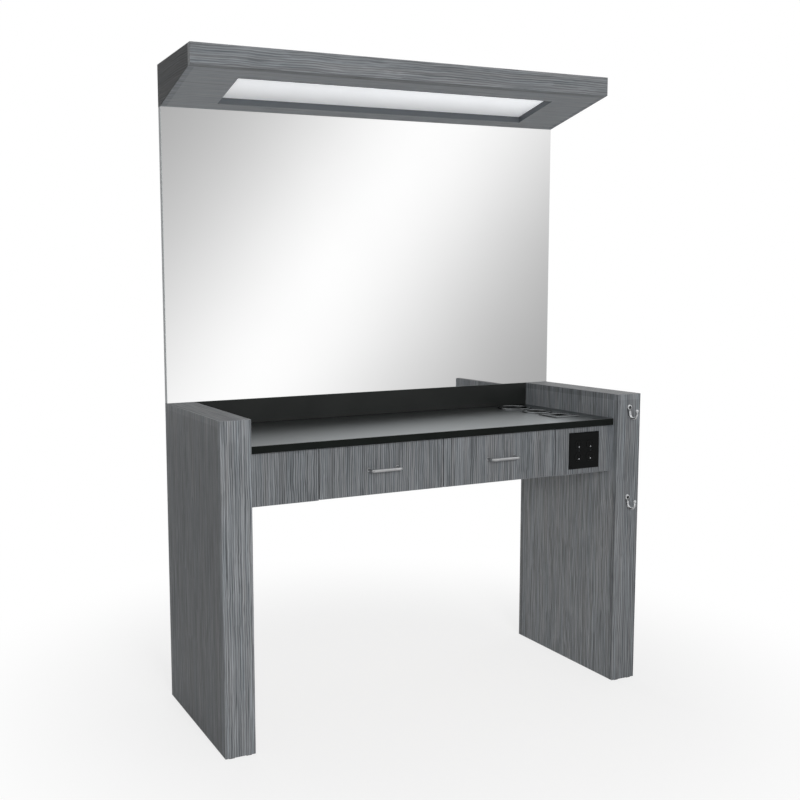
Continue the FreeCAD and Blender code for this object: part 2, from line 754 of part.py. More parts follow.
def build_hook(label, height):
    """A boss whose tapering shank runs into a round J with a knob at its tip."""
    body = doc.addObject("PartDesign::Body", label + "_plate")
    boss = mm.hook_boss_radius
    rod = mm.hook_rod_radius
    shank = mm.hook_shank
    plate = new_sketch(body, "XZ_Plane", "plate_outline")
    lean = (boss - rod) / shank
    tangent_up = lean * boss
    tangent_out = boss * (-(lean * lean) + 1).root()
    low_up = lean * rod - shank
    low_out = rod * (-(lean * lean) + 1).root()
    start = math.atan2(tangent_up.value, tangent_out.value)
    big = Part.Circle(FreeCAD.Vector(0, 0, 0), FreeCAD.Vector(0, 0, 1), boss.value)
    small = Part.Circle(FreeCAD.Vector(0, -shank.value, 0), FreeCAD.Vector(0, 0, 1), rod.value)
    right_top = FreeCAD.Vector(tangent_out.value, -tangent_up.value, 0)
    left_top = FreeCAD.Vector(-tangent_out.value, -tangent_up.value, 0)
    right_low = FreeCAD.Vector(low_out.value, low_up.value - 2 * lean.value * rod.value, 0)
    left_low = FreeCAD.Vector(-low_out.value, right_low.y, 0)
    plate.addGeometry(Part.ArcOfCircle(big, -start, math.pi + start), False)
    plate.addGeometry(Part.LineSegment(left_top, left_low), False)
    plate.addGeometry(Part.ArcOfCircle(small, math.pi + start, 2 * math.pi - start), False)
    plate.addGeometry(Part.LineSegment(right_low, right_top), False)
    pin_point(plate, 1, 1, -tangent_out, -tangent_up)
    pin_point(plate, 1, 2, -low_out, -shank - lean * rod)
    pin_point(plate, 3, 1, low_out, -shank - lean * rod)
    pin_point(plate, 3, 2, tangent_out, -tangent_up)
    for arc, first, last, radius in ((0, (3, 2), (1, 1), boss), (2, (1, 2), (3, 1), rod)):
        plate.addConstraint(Sketcher.Constraint("Coincident", arc, 1, *first))
        plate.addConstraint(Sketcher.Constraint("Coincident", arc, 2, *last))
        number = plate.addConstraint(Sketcher.Constraint("Radius", arc, radius.value))
        plate.setExpression(f"Constraints[{number}]", radius.text)
    add_pad(body, plate, mm.hook_plate, "plate")
    place(body, (leg_middle, front, height))

    # The J leaves the shank's face, turns under through half a ring and rises to its tip.
    start_y = front - mm.hook_plate
    tip_y = front - mm.hook_reach + mm.hook_knob_radius
    turn_radius = (start_y - tip_y) / 2
    turn_height = height - mm.hook_turn
    turn = doc.addObject("Part::Torus", label + "_turn")
    for prop, size in (("Radius1", turn_radius), ("Radius2", rod)):
        setattr(turn, prop, size.value)
        turn.setExpression(prop, size.text)
    turn.Angle3 = 180
    place(turn, (leg_middle, (start_y + tip_y) / 2, turn_height), RING_BELOW)
    tip = cylinder(label + "_tip", rod, mm.hook_tip_rise, (leg_middle, tip_y, turn_height))
    root = cylinder(label + "_root", rod, mm.hook_turn, (leg_middle, start_y, turn_height))
    full = mm.hook_knob_radius
    flat = mm.hook_knob_flat
    profile = [(ZERO, -full), (flat, -full), (full, -flat), (full, flat), (flat, full),
               (ZERO, full)]
    knob = turned(label + "_knob", profile,
                  (leg_middle, tip_y, turn_height + mm.hook_tip_rise))
    joined = doc.addObject("Part::MultiFuse", label)
    joined.Shapes = [body, turn, tip, root, knob]
    return joined


# ---- mirror and the straps let into the back

def strap_shape(name, side):
    """A strap, or the groove that it fills."""
    x = mirrored(side, leg_middle)
    half = mm.strap_width / 2
    return block(name, (x - half, back - mm.strap_thickness, mm.strap_bottom),
                 (x + half, back, mm.strap_top))


def build_mirror(strap_grooves):
    glass = board("glass_sheet", "y", (-half_width, glass_face, mm.leg_height),
                  (half_width, glass_back, mirror_top))
    name_node(glass, "mirror_glass")
    backing = board("backing_sheet", "y",
                    (-half_width, back - mm.mirror_board_thickness, mm.leg_height),
                    (half_width, back, mirror_top))
    cut("mirror_backing_board", backing, list(strap_grooves.values()))
    pads = []
    half = mm.mastic_pad / 2
    for column in (-1, 0, 1):
        x = mm.station_width / 3 * column
        for row in (1, 3, 5):
            z = mm.leg_height + (mirror_top - mm.leg_height) / 6 * row
            pads.append(block("mastic_pad", (x - half, glass_back, z - half),
                              (x + half, glass_back + mm.mastic_thickness, z + half)))
    group("mirror_mastic_pads", pads)
    for name, side in SIDES:
        name_node(strap_shape(f"{name}_strap", side), f"back_{name}_strap")


# ---- canopy

def sloped_board(name, y_start, y_end, lift, thickness, half_length):
    """A board lying along the soffit's slope, lift above its lower face, with plumb ends."""
    corners = [(y_start - canopy_face, soffit_under(y_start) + lift),
               (y_end - canopy_face, soffit_under(y_end) + lift),
               (y_end - canopy_face, soffit_under(y_end) + lift + thickness),
               (y_start - canopy_face, soffit_under(y_start) + lift + thickness)]
    return extruded(name, "YZ_Plane", corners, half_length * 2,
                    (ZERO, canopy_face, ZERO), both=True)


def build_canopy(strap_grooves):
    inside = half_width - mm.board_thickness
    fascia_rear = canopy_face + mm.board_thickness
    corners = [(ZERO, canopy_face_bottom), (mm.board_thickness, soffit_under(fascia_rear)),
               (mm.board_thickness, mm.station_height), (ZERO, mm.station_height)]
    fascia = extruded("fascia_board", "YZ_Plane", corners, mm.station_width,
                      (ZERO, canopy_face, ZERO), both=True)
    name_node(fascia, "canopy_front_fascia")
    end_corners = [(ZERO, soffit_under(fascia_rear)), (glass_face - fascia_rear, mirror_top),
                   (back - fascia_rear, mirror_top), (back - fascia_rear, mm.station_height),
                   (ZERO, mm.station_height)]
    for name, side in SIDES:
        low_x, high_x = span(side, inside, half_width)
        end = extruded(f"{name}_end_board", "YZ_Plane", end_corners, mm.board_thickness,
                       (low_x, fascia_rear, ZERO))
        name_node(end, f"canopy_{name}_end")
    top = board("top_board", "z", (-inside, fascia_rear, mm.station_height - mm.board_thickness),
                (inside, glass_face, mm.station_height), eased=())
    name_node(top, "canopy_top_panel")
    rail = board("rail_board", "y", (-inside, glass_face, mirror_top),
                 (inside, back, mm.station_height), eased=())
    cut("canopy_back_rail", rail, list(strap_grooves.values()))

    soffit = sloped_board("soffit_board", fascia_rear, glass_face, ZERO, soffit_rise, inside)
    hole = new_sketch(soffit, "XY_Plane", "light_opening")
    half = half_width - mm.opening_margin
    add_rectangle(hole, -half, mm.opening_front, half, mm.opening_back)
    pocket = add_pocket(soffit, hole, mm.station_height, "light_opening_cut", backwards=True)
    pocket.Type = "ThroughAll"
    name_node(soffit, "canopy_soffit")

    steep = soffit_rise / mm.board_thickness
    sheet_rise = mm.diffuser_thickness * steep
    sheet_front = canopy_face + mm.opening_front - mm.diffuser_lap
    sheet_back = canopy_face + mm.opening_back + mm.diffuser_lap
    diffuser = sloped_board("diffuser_sheet", sheet_front, sheet_back, soffit_rise, sheet_rise,
                            half + mm.diffuser_lap)
    name_node(diffuser, "light_diffuser")
    stops = []
    for y_start, y_end in ((sheet_front - mm.stop_width, sheet_front),
                           (sheet_back, sheet_back + mm.stop_width)):
        stops.append(sloped_board("stop_strip", y_start, y_end, soffit_rise,
                                  mm.stop_height * steep, half + mm.diffuser_lap))
    group("diffuser_stops", stops)


def build_light():
    """Two tubes in lamp holders under the canopy's top, with their driver behind them."""
    ceiling = mm.station_height - mm.board_thickness
    axis_height = mm.station_height - mm.tube_drop
    half = mm.tube_length / 2
    tubes = []
    holders = []
    for setback in (mm.tube_front, mm.tube_back):
        y = canopy_face + setback
        tubes.append(cylinder("light_tube", mm.tube_radius, mm.tube_length,
                              (-half, y, axis_height), Z_TO_RIGHT))
        for name, side in SIDES:
            low_x, high_x = span(side, half, half + mm.lamp_holder_width)
            low = (low_x, y - mm.lamp_holder_depth / 2, axis_height - mm.lamp_holder_drop)
            high = (high_x, y + mm.lamp_holder_depth / 2, ceiling)
            holders.append(block(f"{name}_lamp_holder", low, high))
    group("light_tubes", tubes)
    group("lamp_holders", holders)
    driver_front = canopy_face + mm.tube_back + mm.tube_radius + mm.driver_gap
    driver = block("driver_case", (-mm.driver_length / 2, driver_front,
                                   ceiling - mm.driver_height),
                   (mm.driver_length / 2, driver_front + mm.driver_depth, ceiling))
    name_node(driver, "light_driver")


# ---- drawers and their telescopic slides

def rim_channel(start, depth, half_height, lip):
    """A channel that opens away from its web, with both rims turned in: 12 corners."""
    sheet_gauge = mm.slide_sheet
    end = start + depth
    lower = [(start, -half_height), (end, -half_height), (end, lip - half_height),
             (end - sheet_gauge, lip - half_height),
             (end - sheet_gauge, sheet_gauge - half_height),
             (start + sheet_gauge, sheet_gauge - half_height)]
    return lower + [(x, -z) for x, z in reversed(lower)]


def hat_section(start, end, half_waist, half_height):
    """The drawer member: a web on the drawer's side with two arms and outward rims."""
    sheet_gauge = mm.slide_sheet
    lower = [(start, -half_height), (start + sheet_gauge, -half_height),
             (start + sheet_gauge, -half_waist), (end, -half_waist)]
    inner = [(start, half_waist - sheet_gauge), (end - sheet_gauge, half_waist - sheet_gauge),
             (end - sheet_gauge, sheet_gauge - half_waist), (start, sheet_gauge - half_waist)]
    return lower + [(x, -z) for x, z in reversed(lower)] + inner


def slide_profiles():
    half = mm.slide_height / 2
    step = mm.slide_sheet + mm.slide_gap
    middle_half = half - step
    inner_half = middle_half - step
    inner_start = step * 2
    middle_end = inner_start + mm.slide_sheet + mm.slide_gap + mm.slide_sheet
    outer_end = middle_end + mm.slide_gap + mm.slide_sheet
    waist = inner_half - mm.slide_lip - mm.slide_sheet
    return {"cabinet": rim_channel(ZERO, outer_end, half, mm.slide_lip),
            "middle": rim_channel(step, middle_end - step, middle_half, mm.slide_lip),
            "drawer": hat_section(inner_start, mm.slide_width, waist, inner_half)}


def build_slides(member, x_faces):
    """The same member at every divider face; its hand says which way the drawer lies."""
    solids = []
    profile = slide_profiles()[member]
    height = box_bottom() + mm.box_height / 2
    for x, hand in x_faces:
        corners = [(across * hand, up) for across, up in profile]
        solids.append(extruded(f"{member}_member", "XZ_Plane", corners, mm.slide_length,
                               (x, front + mm.slide_start, height), backwards=True))
    return solids


def box_bottom():
    return apron_bottom + mm.box_lift


def build_drawer(name, side):
    near = mm.board_thickness / 2
    far = drawer_pitch
    faces = [span(side, near, far)[0], span(side, near, far)[1]]
    x_faces = [(faces[0], 1), (faces[1], -1)]
    box_low = faces[0] + mm.slide_width
    box_high = faces[1] - mm.slide_width
    box_start = fascia_back
    box_end = box_start + mm.box_length
    low_z = box_bottom()
    high_z = low_z + mm.box_height
    wall = mm.box_side_thickness
    gap = mm.fascia_gap / 2

    front_low, front_high = span(side, gap, drawer_pitch - gap)
    face = board(f"{name}_front_board", "y", (front_low, fascia_face, apron_bottom + gap),
                 (front_high, fascia_back, counter_bottom - gap))
    floor_low = low_z + mm.box_bottom_lift
    floor_high = floor_low + mm.box_bottom_thickness
    play = mm.groove_play
    bite = mm.groove_depth
    groove = block(f"{name}_floor_groove",
                   (box_low + wall - bite, box_start + wall - bite, floor_low - play),
                   (box_high - wall + bite, box_end - wall + bite, floor_high + play))
    name_node(face, f"drawer_{name}_front")

    sides = []
    for low_x, high_x in ((box_low, box_low + wall), (box_high - wall, box_high)):
        blank = board(f"{name}_side_board", "x", (low_x, box_start, low_z),
                      (high_x, box_end, high_z), eased=())
        sides.append(cut_piece(f"{name}_side", blank, [groove]))
    group(f"drawer_{name}_box_sides", sides)
    ends = []
    for low_y, high_y in ((box_start, box_start + wall), (box_end - wall, box_end)):
        blank = board(f"{name}_end_board", "y", (box_low + wall, low_y, low_z),
                      (box_high - wall, high_y, high_z), eased=())
        ends.append(cut_piece(f"{name}_end", blank, [groove]))
    group(f"drawer_{name}_box_ends", ends)
    floor = block(f"{name}_floor",
                  (box_low + wall - bite + play, box_start + wall - bite + play, floor_low),
                  (box_high - wall + bite - play, box_end - wall + bite - play, floor_high))
    name_node(floor, f"drawer_{name}_bottom")

    build_pull(name, (front_low + front_high - mm.pull_centres) / 2)
    group(f"drawer_{name}_slide_members", build_slides("drawer", x_faces))
    group(f"drawer_{name}_slide_middles", build_slides("middle", x_faces))
    return x_faces


def build_pull(name, left_foot):
    """A round bar, mitred at both corners, whose two feet stand on the drawer front."""
    body = doc.addObject("PartDesign::Body", f"{name}_pull_bar")
    path = new_sketch(body, "XY_Plane", "bar_path")
    stops = [(ZERO, ZERO), (ZERO, -mm.pull_reach), (mm.pull_centres, -mm.pull_reach),
             (mm.pull_centres, ZERO)]
    points = [FreeCAD.Vector(x.value, y.value, 0) for x, y in stops]
    for index, stop in enumerate(stops[:-1]):
        path.addGeometry(Part.LineSegment(points[index], points[index + 1]), False)
        pin_point(path, index, 1, *stop)
    pin_point(path, len(stops) - 2, 2, *stops[-1])
    for index in range(len(stops) - 2):
        path.addConstraint(Sketcher.Constraint("Coincident", index, 2, index + 1, 1))
    section = new_sketch(body, "XZ_Plane", "bar_section")
    add_circle(section, ZERO, ZERO, mm.pull_radius)
    pipe = body.newObject("PartDesign::AdditivePipe", "bar")
    pipe.Profile = section
    pipe.Spine = (path, ["Edge1", "Edge2", "Edge3"])
    pipe.Transition = "Right corner"
    place(body, (left_foot, fascia_face, apron_middle))
    name_node(body, f"drawer_{name}_pull")


# ---- the whole station

strap_grooves = {name: strap_shape(f"{name}_strap_groove", side) for name, side in SIDES}
build_legs(strap_grooves)
build_counter()
build_apron()
build_outlets()
build_holders()
hooks = zip(("upper_hook", "lower_hook"), hook_heights())
group("leg_hooks", [build_hook(hook_name, height) for hook_name, height in hooks])
build_mirror(strap_grooves)
build_canopy(strap_grooves)
build_light()
divider_faces = []
for drawer_name, drawer_side in SIDES:
    divider_faces += build_drawer(drawer_name, drawer_side)
group("slide_cabinet_members", build_slides("cabinet", divider_faces))

doc.recompute()

# ---- checks, then one file for each sub-part

faults = []
for thing in doc.Objects:
    if "Invalid" in thing.State or "Error" in thing.State:
        faults.append(f"{thing.Name} ({thing.Label}) is {thing.State}")
for node in nodes:
    if node.Shape.isNull() or not node.Shape.isValid():
        faults.append(f"{node.Label} has no valid shape")
if faults:
    raise RuntimeError("; ".join(faults))

os.makedirs("parts", exist_ok=True)
for node in nodes:
    node.Shape.exportStep(f"parts/{node.Label}.step")
print(f"{len(nodes)} sub-parts written")
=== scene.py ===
import math
import bmesh
import bpy
from mathutils import Matrix, Vector


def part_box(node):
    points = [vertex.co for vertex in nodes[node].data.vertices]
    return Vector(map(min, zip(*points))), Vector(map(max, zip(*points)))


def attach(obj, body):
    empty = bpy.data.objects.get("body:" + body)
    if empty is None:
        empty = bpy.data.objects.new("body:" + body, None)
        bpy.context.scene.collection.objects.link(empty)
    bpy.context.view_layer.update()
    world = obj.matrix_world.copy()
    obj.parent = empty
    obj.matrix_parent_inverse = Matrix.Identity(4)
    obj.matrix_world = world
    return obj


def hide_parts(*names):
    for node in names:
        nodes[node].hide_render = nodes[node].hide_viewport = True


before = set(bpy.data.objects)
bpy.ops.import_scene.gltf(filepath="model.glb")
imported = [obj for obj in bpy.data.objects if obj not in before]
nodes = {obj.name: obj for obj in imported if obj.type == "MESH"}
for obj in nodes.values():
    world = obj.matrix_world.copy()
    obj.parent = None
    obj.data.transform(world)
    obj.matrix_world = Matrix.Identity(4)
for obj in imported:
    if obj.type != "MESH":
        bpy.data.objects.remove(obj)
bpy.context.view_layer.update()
scene = bpy.context.scene
scene.view_settings.view_transform = "Standard"
print("frame loaded:", len(nodes), "nodes")


def linearColour(hexText):                          # sRGB hex to linear RGBA
    values = [int(hexText[i:i + 2], 16) / 255 for i in (1, 3, 5)]
    return tuple(v / 12.92 if v <= 0.04045 else ((v + 0.055) / 1.055) ** 2.4
                 for v in values) + (1.0,)


def addNode(tree, kind, inputs=None, **settings):   # a node with its settings, values and links
    node = tree.nodes.new(kind)
    for name, value in settings.items():
        setattr(node, name, value)
    for name, value in (inputs or {}).items():
        if isinstance(value, bpy.types.Node):
            value = next(socket for socket in value.outputs if socket.enabled)
        if isinstance(value, bpy.types.NodeSocket):
            tree.links.new(value, node.inputs[name])
        else:
            node.inputs[name].default_value = value
    return node


def setStops(ramp, stops):                          # colour stops of a ramp, as (place, hex)
    while len(ramp.color_ramp.elements) < len(stops):
        ramp.color_ramp.elements.new(0.5)
    for element, (place, colour) in zip(ramp.color_ramp.elements, stops):
        element.position = place
        element.color = linearColour(colour)
    return ramp


def newMaterial(name, **sockets):                   # a Principled material, its plain sockets set
    material = bpy.data.materials.new(name)
    material.use_nodes = True
    tree = material.node_tree
    tree.nodes.clear()
    shader = addNode(tree, "ShaderNodeBsdfPrincipled")
    output = addNode(tree, "ShaderNodeOutputMaterial", {"Surface": shader.outputs[0]})
    for socket, value in sockets.items():
        shader.inputs[socket.replace("_", " ")].default_value = value
    return material, tree, shader, output


def scaledPlace(tree, scale):                       # the piece's own metres, scaled per axis
    where = addNode(tree, "ShaderNodeTexCoord")
    return addNode(tree, "ShaderNodeMapping", {"Vector": where.outputs["Object"], "Scale": scale})


def addPiece(name, mesh, body, materials, smoothAngle=35):
    for material in materials:
        mesh.materials.append(material)
    for face in mesh.polygons:
        face.use_smooth = True
    mesh.set_sharp_from_angle(angle=math.radians(smoothAngle))
    piece = bpy.data.objects.new(name, mesh)
    scene.collection.objects.link(piece)
    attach(piece, body)
    return piece


def meshFrom(name, bm):
    bmesh.ops.recalc_face_normals(bm, faces=bm.faces)
    mesh = bpy.data.meshes.new(name)
    bm.to_mesh(mesh)
    bm.free()
    return mesh


def joinLoops(bm, loops, closed=False):             # skin a list of equal rings of points
    rings = [[bm.verts.new(point) for point in loop] for loop in loops]
    pairs = list(zip(rings, rings[1:])) + ([(rings[-1], rings[0])] if closed else [])
    for low, high in pairs:
        for i in range(len(low)):
            j = (i + 1) % len(low)
            bm.faces.new((low[i], low[j], high[j], high[i]))
    return rings


def capLoop(bm, ring):                              # close a ring with a fan, so it stays round
    centre = bm.verts.new(sum((vert.co for vert in ring), Vector()) / len(ring))
    for i in range(len(ring)):
        bm.faces.new((ring[i], ring[(i + 1) % len(ring)], centre))


def paintFaces(ring, index):                        # the finish of all faces that touch a ring
    for vert in ring:
        for face in vert.link_faces:
            face.material_index = index


def turnAngles(count):                              # equal steps once round, in radians
    return [2 * math.pi * k / count for k in range(count)]


def circlePoints(radius, height, segments, centre=(0, 0), waves=0, depth=0.0):
    points = []
    for angle in turnAngles(segments):
        r = radius * (1 + depth * math.cos(waves * angle))
        points.append(Vector((centre[0] + r * math.cos(angle), centre[1] + r * math.sin(angle),
                              height)))
    return points


def squarePoints(half, corner, height, centre, steps=6):   # a square ring with round corners
    points = []
    for turn, (sx, sy) in enumerate(((1, 1), (-1, 1), (-1, -1), (1, -1))):
        for step in range(steps + 1):
            angle = math.radians(90 * turn + 90 * step / steps)
            points.append(Vector((centre[0] + sx * (half - corner) + corner * math.cos(angle),
                                  centre[1] + sy * (half - corner) + corner * math.sin(angle),
                                  height)))
    return points


def sweepRod(bm, path, radii, segments):            # a round rod of changing radius along a path
    side = None
    loops = []
    for i, point in enumerate(path):
        ahead = (path[min(i + 1, len(path) - 1)] - path[max(i - 1, 0)]).normalized()
        if side is None:
            side = ahead.orthogonal().normalized()
        side = (side - ahead * side.dot(ahead)).normalized()
        other = ahead.cross(side)
        loops.append([point + (side * math.cos(a) + other * math.sin(a)) * radii[i]
                      for a in turnAngles(segments)])
    rings = joinLoops(bm, loops)
    capLoop(bm, rings[0])
    capLoop(bm, rings[-1])


# a low cross-recess head that faces along axis; its recess can have a finish of its own
def addScrewHead(bm, place, axis, radius, rise, finish=0, recess=None):
    segments = 24
    loops = [circlePoints(0.10 * radius, rise * 0.15, segments, waves=4, depth=0.2),
             circlePoints(0.30 * radius, rise * 0.98, segments, waves=4, depth=0.62),
             circlePoints(0.62 * radius, rise * 0.88, segments),
             circlePoints(0.86 * radius, rise * 0.58, segments),
             circlePoints(radius, rise * 0.12, segments),
             circlePoints(radius, -0.0004, segments)]
    turn = Vector((0, 0, 1)).rotation_difference(Vector(axis)).to_matrix()
    rings = joinLoops(bm, [[turn @ point + Vector(place) for point in loop] for loop in loops])
    capLoop(bm, rings[0])
    for ring in rings:
        paintFaces(ring, finish)
    paintFaces(rings[0], finish if recess is None else recess)


def dressNodes(material, *names):
    for name in names:
        slots = nodes[name].material_slots
        if not slots:
            nodes[name].data.materials.append(material)
        for slot in slots:
            slot.material = material


# camera: eye place in metres, angles in degrees, lens and shift in Blender's units
cameraPlan = {"place": (-1.65291, -2.75898, 1.31801), "yaw": 22.7525, "pitch": -6.0848,
              "roll": -0.7302, "lens": 45.0684, "shiftX": 0.16627, "shiftY": -0.00673}


def makeCamera(plan):
    yaw, pitch, roll = (math.radians(plan[key]) for key in ("yaw", "pitch", "roll"))
    ahead = Vector((math.sin(yaw) * math.cos(pitch), math.cos(yaw) * math.cos(pitch),
                    math.sin(pitch)))
    level = Vector((math.cos(yaw), -math.sin(yaw), 0))
    upright = level.cross(ahead)
    right = level * math.cos(roll) + upright * math.sin(roll)
    up = upright * math.cos(roll) - level * math.sin(roll)
    data = bpy.data.cameras.new("camera")
    data.lens = plan["lens"]
    data.sensor_width = 36
    data.shift_x = plan["shiftX"]
    data.shift_y = plan["shiftY"]
    camera = bpy.data.objects.new("camera", data)
    scene.collection.objects.link(camera)
    turn = Matrix((right, up, -ahead)).transposed().to_4x4()
    camera.matrix_world = Matrix.Translation(plan["place"]) @ turn
    scene.camera = camera


makeCamera(cameraPlan)
print("camera set")


# soft studio light: a key from the front and left of the middle, weak fills at the front's sides,
# one fill for the right-hand side and one for the back
lampPlan = {
    "key": {"place": (-0.85, -3.7, 1.95), "aim": (0.1, 0.0, 0.85),
            "size": (1.2, 1.5), "watts": 92},
    "leftFill": {"place": (-3.6, -1.8, 1.3), "aim": (0.0, 0.0, 0.9),
                 "size": (1.4, 1.2), "watts": 2.2},
    "rightFill": {"place": (3.4, -3.0, 1.7), "aim": (0.0, 0.0, 0.9),
                  "size": (1.8, 1.8), "watts": 4},
    "sideFill": {"place": (4.2, 1.3, 1.3), "aim": (0.7, 0.1, 1.0),
                 "size": (1.6, 1.6), "watts": 16},
    "backFill": {"place": (0.6, 3.8, 1.7), "aim": (0.0, 0.27, 1.0),
                 "size": (2.2, 1.6), "watts": 30},
}
worldPlan = {"ambient": 0.25, "background": "#ffffff"}
floorPlan = {"half": 9.0, "level": -0.0004, "near": 0.6, "far": 1.7, "least": 0.74,
             "colour": "#f9f9f9"}
cardPlan = {"y": -5.0, "x": (-7.0, 9.0), "z": (0.05, 5.5),   # the graded card that the mirror shows
            "ridgeX": 2.506, "ridgeZ": 1.543, "turn": -38.62,
            "spreads": (1.475, 1.672), "low": 0.36, "peak": 1.04, "power": 1.9}


def makeLamps(plan):
    for name, lamp in plan.items():
        data = bpy.data.lights.new(name, "AREA")
        data.shape = "RECTANGLE"
        data.size, data.size_y = lamp["size"]
        data.energy = lamp["watts"]
        light = bpy.data.objects.new(name, data)
        scene.collection.objects.link(light)
        aim = Vector(lamp["aim"]) - Vector(lamp["place"])
        turn = aim.to_track_quat("-Z", "Y").to_matrix().to_4x4()
        light.matrix_world = Matrix.Translation(lamp["place"]) @ turn
        light.visible_glossy = False                # the mirror shows the card and no lamp


def makeWorld(plan):
    world = bpy.data.worlds.new("studio")
    scene.world = world
    world.use_nodes = True
    tree = world.node_tree
    tree.nodes.clear()
    path = addNode(tree, "ShaderNodeLightPath")
    seen = addNode(tree, "ShaderNodeMath", {0: path.outputs["Is Camera Ray"],
                                            1: path.outputs["Is Glossy Ray"]}, operation="MAXIMUM")
    seen = addNode(tree, "ShaderNodeMath", {0: seen, 1: path.outputs["Is Transmission Ray"]},
                   operation="MAXIMUM")
    soft = addNode(tree, "ShaderNodeBackground", {"Color": linearColour(plan["background"]),
                                                  "Strength": plan["ambient"]})
    white = addNode(tree, "ShaderNodeBackground", {"Color": linearColour(plan["background"]),
                                                   "Strength": 1.0})
    mix = addNode(tree, "ShaderNodeMixShader", {0: seen, 1: soft, 2: white})
    addNode(tree, "ShaderNodeOutputWorld", {"Surface": mix})


def makeFloor(plan):
    bm = bmesh.new()
    bmesh.ops.create_grid(bm, x_segments=2, y_segments=2, size=plan["half"])
    mesh = meshFrom("floor", bm)
    floor = bpy.data.objects.new("floor", mesh)
    floor.location.z = plan["level"]
    scene.collection.objects.link(floor)
    material, tree, shader, output = newMaterial("paleStudioFloor", Roughness=0.8)
    shader.inputs["Base Color"].default_value = linearColour(plan["colour"])
    where = addNode(tree, "ShaderNodeTexCoord")
    away = addNode(tree, "ShaderNodeVectorMath", {0: where.outputs["Object"]}, operation="LENGTH")
    fade = addNode(tree, "ShaderNodeMapRange",
                   {"Value": away.outputs["Value"], "From Min": plan["near"],
                    "From Max": plan["far"], "To Min": plan["least"]},
                   interpolation_type="SMOOTHSTEP")
    path = addNode(tree, "ShaderNodeLightPath")
    factor = addNode(tree, "ShaderNodeMath", {0: fade, 1: path.outputs["Is Camera Ray"]},
                     operation="MULTIPLY")
    white = addNode(tree, "ShaderNodeEmission", {"Strength": 1.0})
    mix = addNode(tree, "ShaderNodeMixShader", {0: factor, 1: shader, 2: white})
    tree.links.new(mix.outputs[0], output.inputs["Surface"])
    mesh.materials.append(material)


def makeCard(plan):
    (lowX, highX), (lowZ, highZ), y = plan["x"], plan["z"], plan["y"]
    mesh = bpy.data.meshes.new("card")
    mesh.from_pydata([(lowX, y, lowZ), (highX, y, lowZ), (highX, y, highZ), (lowX, y, highZ)], [],
                     [(0, 1, 2, 3)])
    card = bpy.data.objects.new("card", mesh)
    scene.collection.objects.link(card)
    material, tree, shader, output = newMaterial("gradedStudioCard")
    turn = math.radians(plan["turn"])
    where = addNode(tree, "ShaderNodeTexCoord")
    offset = addNode(tree, "ShaderNodeVectorMath", {0: where.outputs["Object"],
                                                    1: (plan["ridgeX"], 0, plan["ridgeZ"])},
                     operation="SUBTRACT")
    across = addNode(tree, "ShaderNodeVectorMath",
                     {0: offset, 1: (math.cos(turn), 0, math.sin(turn))},
                     operation="DOT_PRODUCT")
    sides = [addNode(tree, "ShaderNodeMath", {0: across.outputs["Value"], 1: sign / spread},
                     operation="MULTIPLY") for sign, spread in zip((-1, 1), plan["spreads"])]
    distance = addNode(tree, "ShaderNodeMath", {0: sides[0], 1: sides[1]}, operation="MAXIMUM")
    bend = addNode(tree, "ShaderNodeMath", {0: distance, 1: plan["power"]}, operation="POWER")
    fall = addNode(tree, "ShaderNodeMath", {0: bend, 1: -1.0}, operation="MULTIPLY")
    bell = addNode(tree, "ShaderNodeMath", {0: fall}, operation="EXPONENT")
    level = addNode(tree, "ShaderNodeMapRange", {"Value": bell, "To Min": plan["low"],
                                                 "To Max": plan["peak"]})
    glow = addNode(tree, "ShaderNodeEmission", {"Strength": level})
    tree.links.new(glow.outputs[0], output.inputs["Surface"])
    mesh.materials.append(material)
    card.visible_camera = False
    card.visible_diffuse = False
    card.visible_shadow = False


makeLamps(lampPlan)
makeWorld(worldPlan)
makeFloor(floorPlan)
makeCard(cardPlan)
print("studio set")


# high-pressure laminate, printed with driftwood grain and satin pressed: fine wavering streaks
# about 7 mm apart in cool and warm greys, over bands 15 to 20 mm wide; scales are per metre
laminatePlan = {
    "streaks": ((560.0, 9.0, 0.26), (250.0, 4.5, 0.32), (60.0, 1.6, 0.14)),   # across, along, share
    "lines": (0.0072, 95.0, 2.6, 7.5, 0.28),        # period, drift across, along, reach, share
    "wander": ((5.0, 0.0045), (22.0, 0.0014)),      # drift of the streaks: per metre, metres
    "stops": ((0.2, "#4d5053"), (0.38, "#64676a"), (0.5, "#76797c"), (0.62, "#86898c"),
              (0.82, "#999ca0")),
    "warm": "#fff9f5", "cool": "#f2f9fd",
    # arris: a painted highlight along eased edges; wall: painted shade on the walls of the canopy's
    # light opening
    "arris": "#85888b", "wall": "#54585c",
    "roughness": 0.44, "specular": 0.3, "gain": 2.4,
    "lineReach": 0.45, "tintScale": (70.0, 3.0),    # swing of the lines; tint across and along
    "dull": 0.07, "glossy": 0.05,                   # rougher in dark grain, smoother in pale grain
    "relief": 0.1, "reliefDepth": 0.0004,
}
faceLimits = {"level": 0.7, "wall": 0.5, "eased": 0.4}   # on parts of the normal


def grainScale(axis, across, along):                # noise runs long along the grain's axis
    return tuple(along if i == axis else across for i in range(3))


def flatScale(axis, across, along):                 # on level faces, where height doesn't count
    return grainScale(axis, across, along)[:2] + (0.0,)


